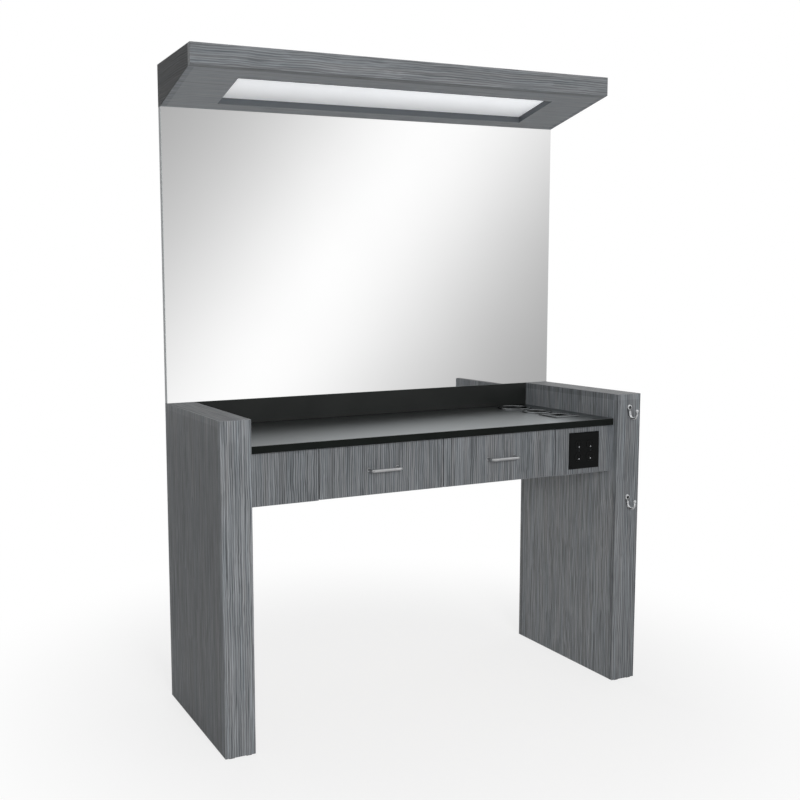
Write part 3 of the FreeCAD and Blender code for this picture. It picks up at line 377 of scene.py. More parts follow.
def faceMask(tree, kind):                           # 1 on level faces, walls or eased edges
    where = addNode(tree, "ShaderNodeTexCoord")
    size = addNode(tree, "ShaderNodeVectorMath", {0: where.outputs["Normal"]}, operation="ABSOLUTE")
    parts = addNode(tree, "ShaderNodeSeparateXYZ", {0: size.outputs["Vector"]})
    if kind == "level":
        return addNode(tree, "ShaderNodeMath", {0: parts.outputs[2], 1: faceLimits["level"]},
                       operation="GREATER_THAN")
    if kind == "wall":
        return addNode(tree, "ShaderNodeMath", {0: parts.outputs[2], 1: faceLimits["wall"]},
                       operation="LESS_THAN")
    products = [addNode(tree, "ShaderNodeMath", {0: parts.outputs[a], 1: parts.outputs[b]},
                        operation="MULTIPLY") for a, b in ((0, 1), (1, 2), (2, 0))]
    total = addNode(tree, "ShaderNodeMath", {0: products[0], 1: products[1]}, operation="ADD")
    total = addNode(tree, "ShaderNodeMath", {0: total, 1: products[2]}, operation="ADD")
    return addNode(tree, "ShaderNodeMath", {0: total, 1: faceLimits["eased"]},
                   operation="GREATER_THAN")


# a place times a scale that runs long along the grain: axes[0] on walls, axes[1] on level faces
def grainPlace(tree, where, level, axes, across, along, operation="MULTIPLY"):
    scale = addNode(tree, "ShaderNodeMix", {0: level, 4: grainScale(axes[0], across, along),
                                            5: flatScale(axes[1], across, along)},
                    data_type="VECTOR")
    return addNode(tree, "ShaderNodeVectorMath", {0: where, 1: scale.outputs[1]},
                   operation=operation)


# the two scale arguments lighten or darken the colour as painted light and shade, on upright and on
# level faces; walls can take painted shade, and eased edges a painted highlight
def laminate(name, plan, grain, levelGrain, contrast=1.0, paintedLightScale=1.0, levelPaintedLightScale=1.0, shine=1.0,
             paintedShadeWalls=False, arris=None):
    material, tree, shader, output = newMaterial(name, Specular_IOR_Level=plan["specular"] * shine)
    where = addNode(tree, "ShaderNodeTexCoord").outputs["Object"]
    for scale, reach in plan["wander"]:
        drift = addNode(tree, "ShaderNodeTexNoise",
                        {"Vector": where, "Scale": scale, "Detail": 1.0})
        centred = addNode(tree, "ShaderNodeVectorMath",
                          {0: drift.outputs["Color"], 1: (0.5, 0.5, 0.5)}, operation="SUBTRACT")
        pushed = addNode(tree, "ShaderNodeVectorMath", {0: centred, "Scale": reach * 2},
                         operation="SCALE")
        where = addNode(tree, "ShaderNodeVectorMath", {0: where, 1: pushed},
                        operation="ADD").outputs[0]
    level = faceMask(tree, "level")
    axes = (grain, levelGrain)
    total = None
    for across, along, share in plan["streaks"]:
        mapped = grainPlace(tree, where, level, axes, across, along)
        noise = addNode(tree, "ShaderNodeTexNoise", {"Vector": mapped, "Scale": 1.0, "Detail": 2.0,
                                                     "Roughness": 0.55})
        part = addNode(tree, "ShaderNodeMath", {0: noise, 1: share}, operation="MULTIPLY")
        total = part if total is None else addNode(tree, "ShaderNodeMath", {0: total, 1: part},
                                                   operation="ADD")
    period, across, along, reach, share = plan["lines"]
    phase = grainPlace(tree, where, level, axes, 2 * math.pi / period, 0.0, "DOT_PRODUCT")
    mapped = grainPlace(tree, where, level, axes, across, along)
    drift = addNode(tree, "ShaderNodeTexNoise", {"Vector": mapped, "Scale": 1.0, "Detail": 2.0})
    pushed = addNode(tree, "ShaderNodeMath", {0: drift, 1: reach, 2: phase.outputs["Value"]},
                     operation="MULTIPLY_ADD")
    wave = addNode(tree, "ShaderNodeMath", {0: pushed}, operation="SINE")
    line = addNode(tree, "ShaderNodeMath",
                   {0: wave, 1: 0.5 * share * plan["lineReach"], 2: 0.5 * share},
                   operation="MULTIPLY_ADD")
    total = addNode(tree, "ShaderNodeMath", {0: total, 1: line}, operation="ADD")
    half = 0.5 * contrast * plan["gain"]
    spread = addNode(tree, "ShaderNodeMapRange", {"Value": total, "To Min": 0.5 - half,
                                                  "To Max": 0.5 + half}, clamp=False)
    ramp = setStops(addNode(tree, "ShaderNodeValToRGB", {"Fac": spread}), plan["stops"])
    # painted light and shade: the sheet's colour is scaled lighter or darker for how light falls on
    # it
    for stop in ramp.color_ramp.elements:
        stop.color = tuple(min(1.0, value * paintedLightScale) for value in stop.color[:3]) + (1.0,)
    tintPlace = grainPlace(tree, where, level, axes, *plan["tintScale"])
    tint = addNode(tree, "ShaderNodeTexNoise", {"Vector": tintPlace, "Scale": 1.0, "Detail": 1.0})
    tone = addNode(tree, "ShaderNodeMix", {0: tint, 6: linearColour(plan["warm"]),
                                           7: linearColour(plan["cool"])}, data_type="RGBA")
    colour = addNode(tree, "ShaderNodeMix", {0: 1.0, 6: ramp.outputs[0], 7: tone.outputs[2]},
                     data_type="RGBA", blend_type="MULTIPLY").outputs[2]
    # painted light and shade on level faces, which are lit differently from the upright ones
    if levelPaintedLightScale != paintedLightScale:                         # level faces differ from the upright ones
        change = addNode(tree, "ShaderNodeMapRange", {"Value": level, "To Min": 1.0,
                                                      "To Max": levelPaintedLightScale / paintedLightScale})
        colour = addNode(tree, "ShaderNodeVectorMath", {0: colour, "Scale": change},
                         operation="SCALE").outputs[0]
    # walls take the painted shade colour; otherwise eased edges take the painted highlight colour
    kind, other = ("wall", plan["wall"]) if paintedShadeWalls else ("eased", arris or plan["arris"])
    colour = addNode(tree, "ShaderNodeMix", {0: faceMask(tree, kind), 6: colour,
                                             7: linearColour(other)}, data_type="RGBA").outputs[2]
    tree.links.new(colour, shader.inputs["Base Color"])
    sheen = addNode(tree, "ShaderNodeMapRange",
                    {"Value": spread, "To Min": plan["roughness"] + plan["dull"],
                     "To Max": plan["roughness"] - plan["glossy"]})
    tree.links.new(sheen.outputs[0], shader.inputs["Roughness"])
    bump = addNode(tree, "ShaderNodeBump", {"Height": spread, "Strength": plan["relief"],
                                            "Distance": plan["reliefDepth"]})
    tree.links.new(bump.outputs[0], shader.inputs["Normal"])
    return material


def grained(name, stops, scale, relief, distance, colourScale=None, **sockets):
    # a surface of one stuff: a slow cloud in the colour, a fine skin in the relief and the shine
    material, tree, shader, output = newMaterial(name, **sockets)
    cloud = addNode(tree, "ShaderNodeTexNoise",
                    {"Vector": scaledPlace(tree, colourScale or scale), "Scale": 1.0,
                     "Detail": 3.0})
    ramp = setStops(addNode(tree, "ShaderNodeValToRGB", {"Fac": cloud}), stops)
    tree.links.new(ramp.outputs[0], shader.inputs["Base Color"])
    if relief:
        skin = addNode(tree, "ShaderNodeTexNoise",
                       {"Vector": scaledPlace(tree, scale), "Scale": 1.0, "Detail": 2.0})
        bump = addNode(tree, "ShaderNodeBump",
                       {"Height": skin, "Strength": relief, "Distance": distance})
        tree.links.new(bump.outputs[0], shader.inputs["Normal"])
        vary = addNode(tree, "ShaderNodeMapRange",
                       {"Value": skin, "To Min": sockets["Roughness"] * 0.85,
                        "To Max": sockets["Roughness"] * 1.15})
        tree.links.new(vary.outputs[0], shader.inputs["Roughness"])
    return material


# particle board: pressed softwood chips about 2 to 3 mm long, dry and matt
def chipBoard(name):
    material, tree, shader, output = newMaterial(name, Roughness=0.85)
    chips = addNode(tree, "ShaderNodeTexVoronoi",
                    {"Vector": scaledPlace(tree, (420.0,) * 3), "Scale": 1.0})
    ramp = setStops(addNode(tree, "ShaderNodeValToRGB", {"Fac": chips.outputs["Color"]}),
                    ((0.1, "#8a7252"), (0.5, "#b59a72"), (0.9, "#cdb58c")))
    tree.links.new(ramp.outputs[0], shader.inputs["Base Color"])
    bump = addNode(tree, "ShaderNodeBump", {"Height": chips.outputs["Distance"], "Strength": 0.3,
                                            "Distance": 0.0006})
    tree.links.new(bump.outputs[0], shader.inputs["Normal"])
    return material


# opal acrylic, cast, over the light tubes: milky; it glows as painted light so that it reads white,
# brightest at the front edge and the right, with painted shade toward the back and the left; the
# places of its front, back, left and right are in metres
opalPlan = {"front": 0.07, "back": 0.215, "frontGlow": 0.56, "backGlow": 0.17,
            "left": -0.57, "right": 0.1, "leftShare": 0.78}


def opalAcrylic(name, plan):
    material, tree, shader, output = newMaterial(name, Roughness=0.35)
    shader.inputs["Emission Color"].default_value = linearColour("#f2f5f9")
    milk = addNode(tree, "ShaderNodeTexNoise",
                   {"Vector": scaledPlace(tree, (40.0,) * 3), "Scale": 1.0})
    ramp = setStops(addNode(tree, "ShaderNodeValToRGB", {"Fac": milk}),
                    ((0.3, "#e6e7e8"), (0.7, "#ecedee")))
    tree.links.new(ramp.outputs[0], shader.inputs["Base Color"])
    where = addNode(tree, "ShaderNodeTexCoord")
    parts = addNode(tree, "ShaderNodeSeparateXYZ", {0: where.outputs["Object"]})
    # painted light and shade: the glow falls off toward the back and toward the left
    deep = addNode(tree, "ShaderNodeMapRange",
                   {"Value": parts.outputs[1], "From Min": plan["front"], "From Max": plan["back"],
                    "To Min": plan["frontGlow"], "To Max": plan["backGlow"]},
                   interpolation_type="SMOOTHSTEP")
    wide = addNode(tree, "ShaderNodeMapRange",
                   {"Value": parts.outputs[0], "From Min": plan["left"], "From Max": plan["right"],
                    "To Min": plan["leftShare"]})
    glow = addNode(tree, "ShaderNodeMath", {0: deep, 1: wide}, operation="MULTIPLY")
    tree.links.new(glow.outputs[0], shader.inputs["Emission Strength"])
    return material


# lit and shaded copies of one laminate: the legs' outer sheets, the right leg's front, the apron
# and the canopy ends are darkened as painted shade;
# the legs' inner sheets and the soffit are lightened as painted light; level faces of the upright
# sheets, such as the leg caps, get painted shade, and the canopy ends' lower edges painted light;
# the canopy ends take a dimmer painted highlight on their eased edges;
# grain axes are 0 across, 1 in depth and 2 upright
uprightGrainShadedTops = laminate("driftwoodLaminateUprightShadedTops", laminatePlan, 2, 1, levelPaintedLightScale=0.84)
outerGrainPaintedShade = laminate("driftwoodLaminateOuterPaintedShade", laminatePlan, 2, 1, paintedLightScale=0.86, levelPaintedLightScale=0.86)
innerGrainPaintedLight = laminate("driftwoodLaminateInnerPaintedLight", laminatePlan, 2, 1, paintedLightScale=1.25, levelPaintedLightScale=1.25)
apronGrainPaintedShade = laminate("driftwoodLaminateApronPaintedShade", laminatePlan, 2, 1, paintedLightScale=0.78, levelPaintedLightScale=0.78)
longGrain = laminate("driftwoodLaminateLong", laminatePlan, 0, 0, contrast=0.65)
deepGrainPaintedShade = laminate("driftwoodLaminateDeepPaintedShade", laminatePlan, 1, 0, contrast=0.6, paintedLightScale=0.34,
                     levelPaintedLightScale=1.35, shine=0.2, arris="#5d6164")
rightEndGrainPaintedLightAndShade = laminate("driftwoodLaminateRightEndPaintedLightAndShade", laminatePlan, 1, 0, contrast=0.75,
                         paintedLightScale=0.9, levelPaintedLightScale=1.35, shine=0.2, arris="#5d6164")
soffitGrainPaintedLightAndShade = laminate("driftwoodLaminateSoffitPaintedLightAndShade", laminatePlan, 0, 0, contrast=0.3, paintedLightScale=1.4,
                       levelPaintedLightScale=1.4, paintedShadeWalls=True)

# black laminate with a fine crystal texture: matt head on, a broad pale sheen on its level faces
# when seen flat, plain black on its edges;
# toward the right end its coat and gloss fade, a painted shade on the reflection that stands in for
# the right leg's dark reflection
counterPlan = {"stops": ((0.3, "#101210"), (0.7, "#161917")), "roughness": 0.31,
               "edgeRoughness": 0.6, "reflectionShadeFrom": 0.40, "reflectionShadeTo": 0.60, "reflectionShadeLeast": 0.6,
               "specular": 0.08, "tint": (0.86, 0.96, 1.0, 1.0), "coatRoughness": 0.3,
               "coatIor": 2.0, "crystalScale": 900.0, "relief": 0.05, "reliefDepth": 0.0002}


def counterLaminate(name, plan):
    material, tree, shader, output = newMaterial(name, Specular_IOR_Level=plan["specular"],
                                                 Specular_Tint=plan["tint"],
                                                 Coat_Roughness=plan["coatRoughness"],
                                                 Coat_IOR=plan["coatIor"])
    cloud = addNode(tree, "ShaderNodeTexNoise",
                    {"Vector": scaledPlace(tree, (9.0,) * 3), "Scale": 1.0, "Detail": 3.0})
    ramp = setStops(addNode(tree, "ShaderNodeValToRGB", {"Fac": cloud}), plan["stops"])
    tree.links.new(ramp.outputs[0], shader.inputs["Base Color"])
    level = faceMask(tree, "level")
    where = addNode(tree, "ShaderNodeTexCoord")
    parts = addNode(tree, "ShaderNodeSeparateXYZ", {0: where.outputs["Object"]})
    # painted shade on the reflection: coat and gloss fade toward the right end
    dull = addNode(tree, "ShaderNodeMapRange",
                   {"Value": parts.outputs[0], "From Min": plan["reflectionShadeFrom"],
                    "From Max": plan["reflectionShadeTo"], "To Min": 1.0, "To Max": plan["reflectionShadeLeast"]},
                   interpolation_type="SMOOTHSTEP")
    gloss = addNode(tree, "ShaderNodeMath", {0: level, 1: dull}, operation="MULTIPLY")
    tree.links.new(gloss.outputs[0], shader.inputs["Coat Weight"])
    tree.links.new(gloss.outputs[0], shader.inputs["Metallic"])   # a glossy layer under the coat
    rough = addNode(tree, "ShaderNodeMapRange", {"Value": level, "To Min": plan["edgeRoughness"],
                                                 "To Max": plan["roughness"]})
    tree.links.new(rough.outputs[0], shader.inputs["Roughness"])
    crystals = addNode(tree, "ShaderNodeTexNoise",
                       {"Vector": scaledPlace(tree, (plan["crystalScale"],) * 3), "Scale": 1.0,
                        "Detail": 2.0})
    bump = addNode(tree, "ShaderNodeBump", {"Height": crystals, "Strength": plan["relief"],
                                            "Distance": plan["reliefDepth"]})
    tree.links.new(bump.outputs[0], shader.inputs["Normal"])
    return material


counterBlack = counterLaminate("blackCrystalLaminateTop", counterPlan)
splashBlack = grained("blackCrystalLaminateSplash", ((0.3, "#1b1d1c"), (0.7, "#222423")),
                      (900.0,) * 3, 0.05, 0.0002, (9.0,) * 3, Roughness=0.4,
                      Specular_IOR_Level=0.3)
chips = chipBoard("particleBoardCore")
# melamine-faced board: near white with a fine leather press
melamine = grained("whiteMelamineBoard", ((0.3, "#d2d1cc"), (0.7, "#dddcd8")),
                   (700.0,) * 3, 0.08, 0.0002, Roughness=0.5)
backPanel = grained("paleMelamineBackPanel", ((0.3, "#bfc2c4"), (0.7, "#c9cbcd")),
                    (700.0,) * 3, 0.08, 0.0002, Roughness=0.5)
# injection-moulded nylon and urea plastic: a fine spark-eroded skin
nylon = grained("blackNylonGlide", ((0.3, "#101010"), (0.7, "#181818")),
                (1200.0,) * 3, 0.05, 0.0001, Roughness=0.5)
plateBlack = grained("blackUreaPlate", ((0.3, "#0d0e0e"), (0.7, "#131414")),
                     (1200.0,) * 3, 0.02, 0.0001, Roughness=0.3, Specular_IOR_Level=0.08)
outletBlack = grained("blackGlossUreaOutlet", ((0.3, "#0d0e0e"), (0.7, "#121313")),
                      (1200.0,) * 3, 0.02, 0.0001, Roughness=0.16, Specular_IOR_Level=0.14)
boxBlue = grained("blueMouldedOutletBox", ((0.3, "#27405f"), (0.7, "#2f4a6b")),
                  (1200.0,) * 3, 0.05, 0.0001, Roughness=0.45)
lampWhite = grained("whiteLampHolder", ((0.3, "#d8d8d4"), (0.7, "#e2e2df")),
                    (1200.0,) * 3, 0.05, 0.0001, Roughness=0.35)
driverWhite = grained("whiteEnamelDriver", ((0.3, "#d5d6d4"), (0.7, "#dedfdd")),
                      (400.0,) * 3, 0.05, 0.0001, Roughness=0.35)
tubeWhite = grained("frostedTubeGlass", ((0.3, "#e6e7e8"), (0.7, "#eff0f0")),
                    (800.0,) * 3, 0.02, 0.0001, Roughness=0.3)
mastic = grained("greyMirrorMastic", ((0.3, "#a5a5a1"), (0.7, "#b2b2ae")),
                 (90.0,) * 3, 0.3, 0.0006, Roughness=0.7)
# metals: zinc plate and rolled steel with lines along the strip, nickel brushed along the bar
zinc = grained("zincPlatedSteel", ((0.3, "#a3a6a9"), (0.7, "#b6b9bc")),
               (900.0, 60.0, 900.0), 0.06, 0.0002, (35.0,) * 3, Roughness=0.32, Metallic=1.0)
strapSteel = grained("rolledMildSteelStrap", ((0.3, "#4e5255"), (0.7, "#5f6366")),
                     (900.0, 900.0, 40.0), 0.08, 0.0002, (35.0,) * 3, Roughness=0.42,
                     Metallic=1.0)
holderSteel = grained("satinChromedHolder", ((0.3, "#7c7e7f"), (0.7, "#8a8c8d")),
                      (500.0,) * 3, 0.03, 0.0001, (60.0,) * 3, Roughness=0.27, Metallic=1.0,
                      Specular_Tint=(0.6, 0.62, 0.63, 1.0))
# steel darkened as painted shade, for the inside of the tool sleeves
sleeveWallPaintedShade = grained("steelSleeveWallPaintedShade", ((0.3, "#3a3c3d"), (0.7, "#474a4b")),
                     (500.0, 500.0, 40.0), 0.05, 0.0001, (60.0,) * 3, Roughness=0.3,
                     Metallic=1.0)
chrome = grained("chromePlatedZinc", ((0.3, "#d2d4d6"), (0.7, "#dfe1e3")),
                 (300.0,) * 3, 0.01, 0.0001, Roughness=0.07, Metallic=1.0)
# chrome darkened as painted shade and reflection, for the hooks' shanks
shankChromePaintedShade = grained("chromeInShade", ((0.3, "#505355"), (0.7, "#606365")),
                      (300.0,) * 3, 0.01, 0.0001, Roughness=0.12, Metallic=1.0)
# blackened steel for the dark screws, also used as painted shade in the strap screws' cross
# recesses
darkSteelAndRecessShade = grained("blackenedSteelScrewAndRecessShade", ((0.3, "#2a2c2d"), (0.7, "#353839")),
                    (300.0,) * 3, 0.01, 0.0001, Roughness=0.3, Metallic=1.0)
nickel = grained("brushedNickelBar", ((0.3, "#b3b4b5"), (0.7, "#c4c5c6")),
                 (60.0, 1500.0, 1500.0), 0.05, 0.0001, (35.0,) * 3, Roughness=0.3,
                 Metallic=1.0)
# silvered float glass: a near perfect mirror; its cut edge is ground to a pale satin
silver = grained("silveredFloatGlass", ((0.3, "#f8f8f8"), (0.7, "#fafafa")),
                 (3.0,) * 3, 0.0, 0.0001, Roughness=0.0, Metallic=1.0)
ground = grained("groundGlassEdge", ((0.3, "#b9c1c1"), (0.7, "#c8cfce")),
                 (900.0, 900.0, 60.0), 0.1, 0.0001, Roughness=0.35)
opal = opalAcrylic("opalDiffuserPaintedGlow", opalPlan)

dressNodes(uprightGrainShadedTops, "leg_left_front_panel", "leg_left_back_panel", "leg_right_back_panel",
           "leg_left_top_cap", "leg_right_top_cap")
dressNodes(outerGrainPaintedShade, "leg_left_outer_panel", "leg_right_outer_panel", "leg_right_front_panel")
dressNodes(innerGrainPaintedLight, "leg_left_inner_panel", "leg_right_inner_panel")
dressNodes(apronGrainPaintedShade, "left_fixed_fascia", "right_fixed_fascia", "drawer_left_front",
           "drawer_right_front", "apron_back_rail")
dressNodes(deepGrainPaintedShade, "canopy_left_end")
dressNodes(rightEndGrainPaintedLightAndShade, "canopy_right_end")
dressNodes(longGrain, "canopy_front_fascia", "canopy_top_panel", "canopy_back_rail")
dressNodes(soffitGrainPaintedLightAndShade, "canopy_soffit")
dressNodes(counterBlack, "counter_top")
dressNodes(splashBlack, "backsplash")
dressNodes(backPanel, "mirror_backing_board")
dressNodes(chips, "leg_core_rails", "counter_cleats", "apron_bottom_panel", "drawer_dividers",
           "diffuser_stops")
dressNodes(melamine, *[f"drawer_{side}_{part}" for side in ("left", "right")
                       for part in ("box_sides", "box_ends", "bottom")])
dressNodes(zinc, "slide_cabinet_members",
           *[f"drawer_{side}_slide_{part}" for side in ("left", "right")
             for part in ("members", "middles")])
dressNodes(strapSteel, "back_left_strap", "back_right_strap")
dressNodes(nylon, "floor_glides")
dressNodes(plateBlack, "outlet_plate")
dressNodes(outletBlack, "outlet_receptacles")
dressNodes(boxBlue, "outlet_box")
dressNodes(lampWhite, "lamp_holders")
dressNodes(driverWhite, "light_driver")
dressNodes(tubeWhite, "light_tubes")
dressNodes(mastic, "mirror_mastic_pads")
dressNodes(opal, "light_diffuser")
# the mirror shows the plain card without the legs' tops; the right leg's inner panel stays, as the
# counter and the tool holders need its dark reflection
for name, node in nodes.items():
    if name.startswith("leg_") and name != "leg_right_inner_panel":
        node.visible_glossy = False
print("finishes made")


# mirror sheet: 5 mm float glass with a narrow ground arris all round
mirrorPlan = {"arris": 0.0007}


def makeMirror(plan):
    low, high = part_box("mirror_glass")
    bm = bmesh.new()
    bmesh.ops.create_cube(bm, size=1.0)
    for vert in bm.verts:
        vert.co = Vector([(low[i] + high[i]) / 2 + vert.co[i] * (high[i] - low[i])
                          for i in range(3)])
    bmesh.ops.bevel(bm, geom=bm.edges[:], offset=plan["arris"], segments=1, affect="EDGES")
    bm.normal_update()
    for face in bm.faces:
        face.material_index = 0 if abs(face.normal.y) > 0.95 else 1
    sheet = addPiece("mirrorSheet", meshFrom("mirrorSheet", bm), "station",
                     (silver, ground))
    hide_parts("mirror_glass")


makeMirror(mirrorPlan)
print("mirror made")


# tool holders: spun sleeves and a pressed square one, each with a rolled rim on the counter
holderPlan = {"wall": 0.0015, "rim": 0.004, "roll": 0.0016, "tuck": 0.0002,
              "mouth": 0.0042, "lead": 0.0018, "bevel": 0.0006,
              "squareCorner": 0.003, "innerCorner": 0.0025, "cornerFrom": 0.004}


# half width and height of each ring, all round the sleeve's wall
def sleeveProfile(low, high, bore, flange, plan):
    roll, wall, lead, top = plan["roll"], plan["wall"], plan["lead"], high.z
    under = top - plan["rim"]
    rings = [(bore + wall, low.z), (bore + wall, under), (flange - plan["tuck"], under)]
    for step in range(6):
        angle = math.radians(18 * step)
        rings.append((flange - roll + roll * math.cos(angle),
                      top - roll + roll * math.sin(angle)))
    rings.append((bore + plan["mouth"], top))
    for step in range(5):
        angle = math.radians(90 + 22.5 * step)
        rings.append((bore + lead + lead * math.cos(angle),
                      top - lead + lead * math.sin(angle)))
    return rings + [(bore, low.z + plan["bevel"]), (bore + plan["bevel"], low.z)]


def makeHolder(name, node, bore, plan, square=False):
    low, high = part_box(node)
    centre = ((low.x + high.x) / 2, (low.y + high.y) / 2)
    loops = []
    for r, z in sleeveProfile(low, high, bore, (high.x - low.x) / 2, plan):
        corner = plan["squareCorner" if r > bore + plan["cornerFrom"] else "innerCorner"]
        loops.append(squarePoints(r, corner, z, centre) if square
                     else circlePoints(r, z, 72, centre))
    bm = bmesh.new()
    rings = joinLoops(bm, loops, closed=True)
    # the long inner wall gets painted shade
    paintFaces(rings[-2], 1)                        # the long inner wall is dark
    piece = addPiece(name, meshFrom(name, bm), "station",
                     (holderSteel, sleeveWallPaintedShade))
    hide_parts(node)


makeHolder("dryerSleeve", "dryer_holder", 0.045, holderPlan)
makeHolder("ironSleeve", "iron_holder", 0.034, holderPlan)
makeHolder("squareSleeve", "square_holder", 0.025, holderPlan, square=True)
print("tool holders made")


# drawer pulls: a bent round bar on two low feet
pullPlan = {"span": 0.096, "radius": 0.00475, "corner": 0.0062,
            "foot": 0.0062, "footLength": 0.0016, "footRound": 0.0005, "segments": 28}


def makePull(name, node, body, plan):
    low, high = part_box(node)
    middle = Vector(((low.x + high.x) / 2, 0, (low.z + high.z) / 2))
    radius, corner, reach = plan["radius"], plan["corner"], low.y + plan["radius"]
    half, segments = plan["span"] / 2, plan["segments"]
    bends = [math.radians(11.25 * step) for step in range(9)]
    left = [Vector((-half + corner * (1 - math.cos(a)), reach + corner * (1 - math.sin(a)), 0))
            for a in bends]
    right = [Vector((-point.x, point.y, 0)) for point in reversed(left)]
    bar = [left[-1].lerp(right[0], step / 12) for step in range(1, 12)]
    path = [Vector((-half, high.y, 0))] + left + bar + right + [Vector((half, high.y, 0))]
    bm = bmesh.new()
    sweepRod(bm, [middle + point for point in path], [radius] * len(path), segments)
    foot, edge, end = plan["foot"], plan["footRound"], high.y - plan["footLength"]
    for side in (-1, 1):
        x = middle.x + side * half
        steps = [(radius, end), (foot - edge, end), (foot, end + edge), (foot, high.y)]
        joinLoops(bm, [[Vector((x + r * math.cos(a), y, middle.z + r * math.sin(a)))
                        for a in turnAngles(segments)] for r, y in steps])
    piece = addPiece(name, meshFrom(name, bm), body, (nickel,))
    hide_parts(node)


makePull("leftPullBar", "drawer_left_pull", "drawer_left", pullPlan)
makePull("rightPullBar", "drawer_right_pull", "drawer_right", pullPlan)
print("pulls made")


# leg hooks: a cast boss with a screw, a tapering shank and a round J that ends in a ball
hookPlan = {"drops": (0.044, 0.341), "boss": 0.0085, "plate": 0.004, "shank": 0.026, "toe": 0.0034,
            "rod": 0.0033, "turnDrop": 0.0188, "tipRise": 0.010, "ball": 0.0046, "reach": 0.03998,
            "screw": 0.0050, "screwRise": 0.0014,
            "dish": ((1.0, 0.0), (1.0, 0.5), (0.97, 0.68), (0.89, 0.88), (0.76, 0.98),
                     (0.62, 1.0))}                  # the boss's profile, as shares of both sizes


def makeHook(bm, x, face, height, plan):
    boss, plate, rod, shank, toe = (plan[key] for key in ("boss", "plate", "rod", "shank", "toe"))

    def placed(side, out, up):                      # hook's right, out and up to the part's frame
        return Vector((x + side, face - out, height + up))

    rings = []
    for share, out in plan["dish"]:
        rings.append([placed(boss * share * math.cos(a), plate * out, boss * share * math.sin(a))
                      for a in turnAngles(40)])
    made = joinLoops(bm, rings)
    capLoop(bm, made[0])
    capLoop(bm, made[-1])
    stations = [(boss * 0.98 + (toe - boss * 0.98) * t, -0.1 * boss - t * (shank - 0.1 * boss))
                for t in (step / 12 for step in range(13))]
    stations += [(toe * math.cos(a), -shank - toe * math.sin(a)) for a in (0.4, 0.8, 1.2, 1.5)]
    rings = []
    for wide, up in stations:                       # shank: a round-edged tongue that narrows
        thick = plate * (0.94 if wide > toe * 0.9 else 0.94 * wide / toe)
        ring = []
        for a in turnAngles(24):
            out = thick * min(1.0, max(0.0, math.sin(a)) ** 0.4)
            ring.append(placed(wide * math.cos(a), out, up))
        rings.append(ring)
    made = joinLoops(bm, rings)
    capLoop(bm, made[0])
    capLoop(bm, made[-1])
    # the shank takes the darkened chrome as painted shade
    for ring in made:
        paintFaces(ring, 2)
    start, tip, drop = plate, plan["reach"] - plan["ball"], -plan["turnDrop"]
    radius, centre = (tip - start) / 2, (tip + start) / 2
    path = [placed(0, start - 0.0012, drop + 0.010), placed(0, start - 0.0002, drop + 0.003)]
    path += [placed(0, centre - radius * math.cos(math.pi * step / 24),
                    drop - radius * math.sin(math.pi * step / 24)) for step in range(25)]
    path += [placed(0, tip, drop + plan["tipRise"] * share) for share in (0.35, 0.7, 1.0)]
    radii = [rod * 0.5, rod * 0.95] + [rod * (1.0 - 0.12 * step / 24) for step in range(25)]
    radii += [rod * 0.88] * 3
    sweepRod(bm, path, radii, 20)
    bmesh.ops.create_uvsphere(bm, u_segments=24, v_segments=16, radius=plan["ball"],
                              matrix=Matrix.Translation(placed(0, tip, drop + plan["tipRise"])))
    addScrewHead(bm, placed(0, plate, 0), (0, -1, 0), plan["screw"], plan["screwRise"], finish=1)


def makeHooks(plan):
    low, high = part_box("leg_right_front_panel")
    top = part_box("leg_right_top_cap")[1].z
    bm = bmesh.new()
    for drop in plan["drops"]:
        makeHook(bm, (low.x + high.x) / 2, low.y, top - drop, plan)
    piece = addPiece("legHookPair", meshFrom("legHookPair", bm), "station",
                     (chrome, darkSteelAndRecessShade, shankChromePaintedShade), 40)
    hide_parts("leg_hooks")
    piece.visible_glossy = False


makeHooks(hookPlan)
print("hooks made")


# outlet details: an oval-head screw in each duplex and bright contacts behind its slots
outletPlan = {"gang": 0.023, "rise": 0.01945, "blade": 0.00635, "bladeUp": 0.003,
              "groundDown": 0.007, "proud": 0.0008, "screw": 0.0033, "screwRise": 0.0009,
              "groundProfile": ((0.0012, 0.004), (0.0012, 0.0006), (0.0015, 0.0001),
                                (0.0019, -0.0002), (0.0023, 0.0001), (0.0025, 0.0006),
                                (0.0025, 0.004)),   # radius and depth of each ring
              "blades": ((-1, 0.0035), (1, 0.0028)),   # side and half height of each slot
              "leafGap": 0.00065, "leafHalf": 0.0002, "leafDepths": (0.0022, 0.010)}


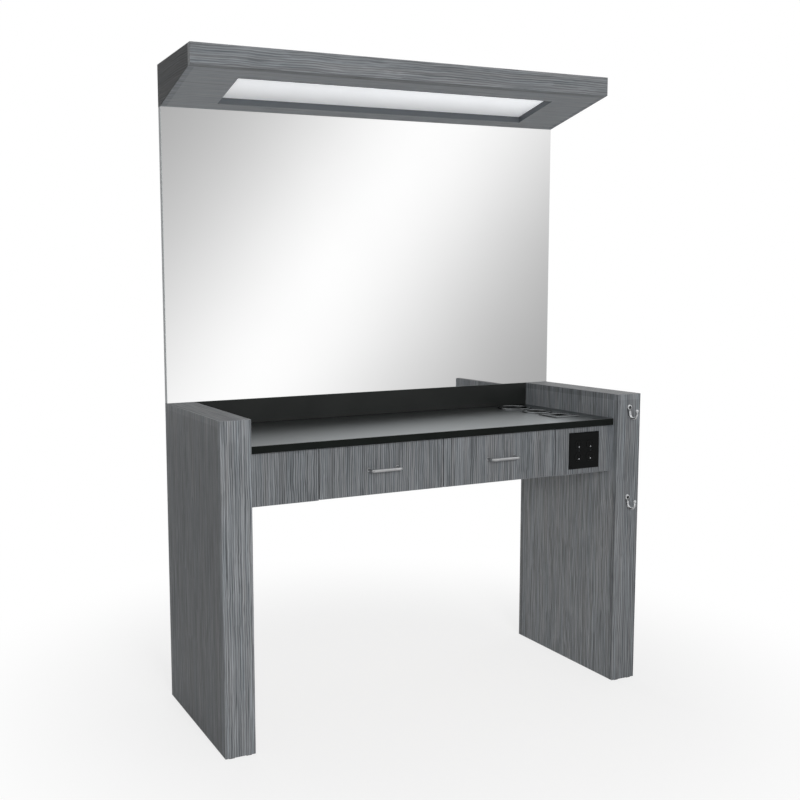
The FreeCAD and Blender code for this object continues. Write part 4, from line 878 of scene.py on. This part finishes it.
def makeOutletDetails(plan):
    low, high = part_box("outlet_plate")
    middle = (low + high) / 2
    screws = bmesh.new()
    contacts = bmesh.new()
    for gang in (-1, 1):
        x = middle.x + gang * plan["gang"]
        addScrewHead(screws, (x, low.y + 0.0001, middle.z), (0, -1, 0), plan["screw"],
                     plan["screwRise"])
        for row in (-1, 1):
            z = middle.z + row * plan["rise"]
            face = low.y - plan["proud"]
            joinLoops(contacts, [[Vector((x + r * math.cos(a), face + deep,
                                          z - plan["groundDown"] + r * math.sin(a)))
                                  for a in turnAngles(20)]
                                 for r, deep in plan["groundProfile"]])
            half = plan["leafHalf"]
            for side, tall in plan["blades"]:
                corners = ((-half, -tall), (half, -tall), (half, tall), (-half, tall))
                for leaf in (-1, 1):
                    cx = x + side * plan["blade"] + leaf * plan["leafGap"]
                    cz = z + plan["bladeUp"]
                    joinLoops(contacts, [[Vector((cx + dx, face + deep, cz + dz))
                                          for dx, dz in corners] for deep in plan["leafDepths"]])
    addPiece("plateScrews", meshFrom("plateScrews", screws), "station",
             (darkSteelAndRecessShade,))
    addPiece("outletContacts", meshFrom("outletContacts", contacts), "station",
             (chrome,))


makeOutletDetails(outletPlan)
print("outlet details made")


# pan heads behind the pulls and on the cleats, flush heads let into the back straps
fastenerPlan = {"strap": (0.52, 0.66, 0.80, 0.92, 1.04, 1.30, 1.56, 1.82, 1.93),
                "strapHead": 0.0045, "strapRise": 0.00002, "subFront": 0.012, "cleat": 0.019,
                "cleatShares": (0.12, 0.5, 0.88), "panHead": 0.0042, "panRise": 0.002}


def makeFasteners(plan):
    for side in ("left", "right"):
        low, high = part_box(f"back_{side}_strap")
        bm = bmesh.new()
        for z in plan["strap"]:
            # the cross recess gets painted shade, as the head is too low for a recess in relief
            addScrewHead(bm, ((low.x + high.x) / 2, high.y, z), (0, 1, 0), plan["strapHead"],
                         plan["strapRise"], recess=1)   # the cross recess is drawn dark
        addPiece(f"{side}StrapScrews", meshFrom(f"{side}StrapScrews", bm), "station",
                 (zinc, darkSteelAndRecessShade))
        pullLow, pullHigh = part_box(f"drawer_{side}_pull")
        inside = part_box(f"drawer_{side}_box_ends")[0].y + plan["subFront"]
        bm = bmesh.new()
        for foot in (-1, 1):
            x = (pullLow.x + pullHigh.x) / 2 + foot * pullPlan["span"] / 2
            addScrewHead(bm, (x, inside, (pullLow.z + pullHigh.z) / 2), (0, 1, 0), plan["panHead"],
                         plan["panRise"])
        addPiece(f"{side}PullScrews", meshFrom(f"{side}PullScrews", bm), f"drawer_{side}",
                 (zinc,))
    low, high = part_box("counter_cleats")
    bm = bmesh.new()
    for side, x in ((1, low.x + plan["cleat"]), (-1, high.x - plan["cleat"])):
        for share in plan["cleatShares"]:
            y = low.y + (high.y - low.y) * share
            addScrewHead(bm, (x, y, (low.z + high.z) / 2), (side, 0, 0), plan["panHead"],
                         plan["panRise"])
    addPiece("cleatScrews", meshFrom("cleatScrews", bm), "station", (zinc,))


makeFasteners(fastenerPlan)
print("fasteners made")
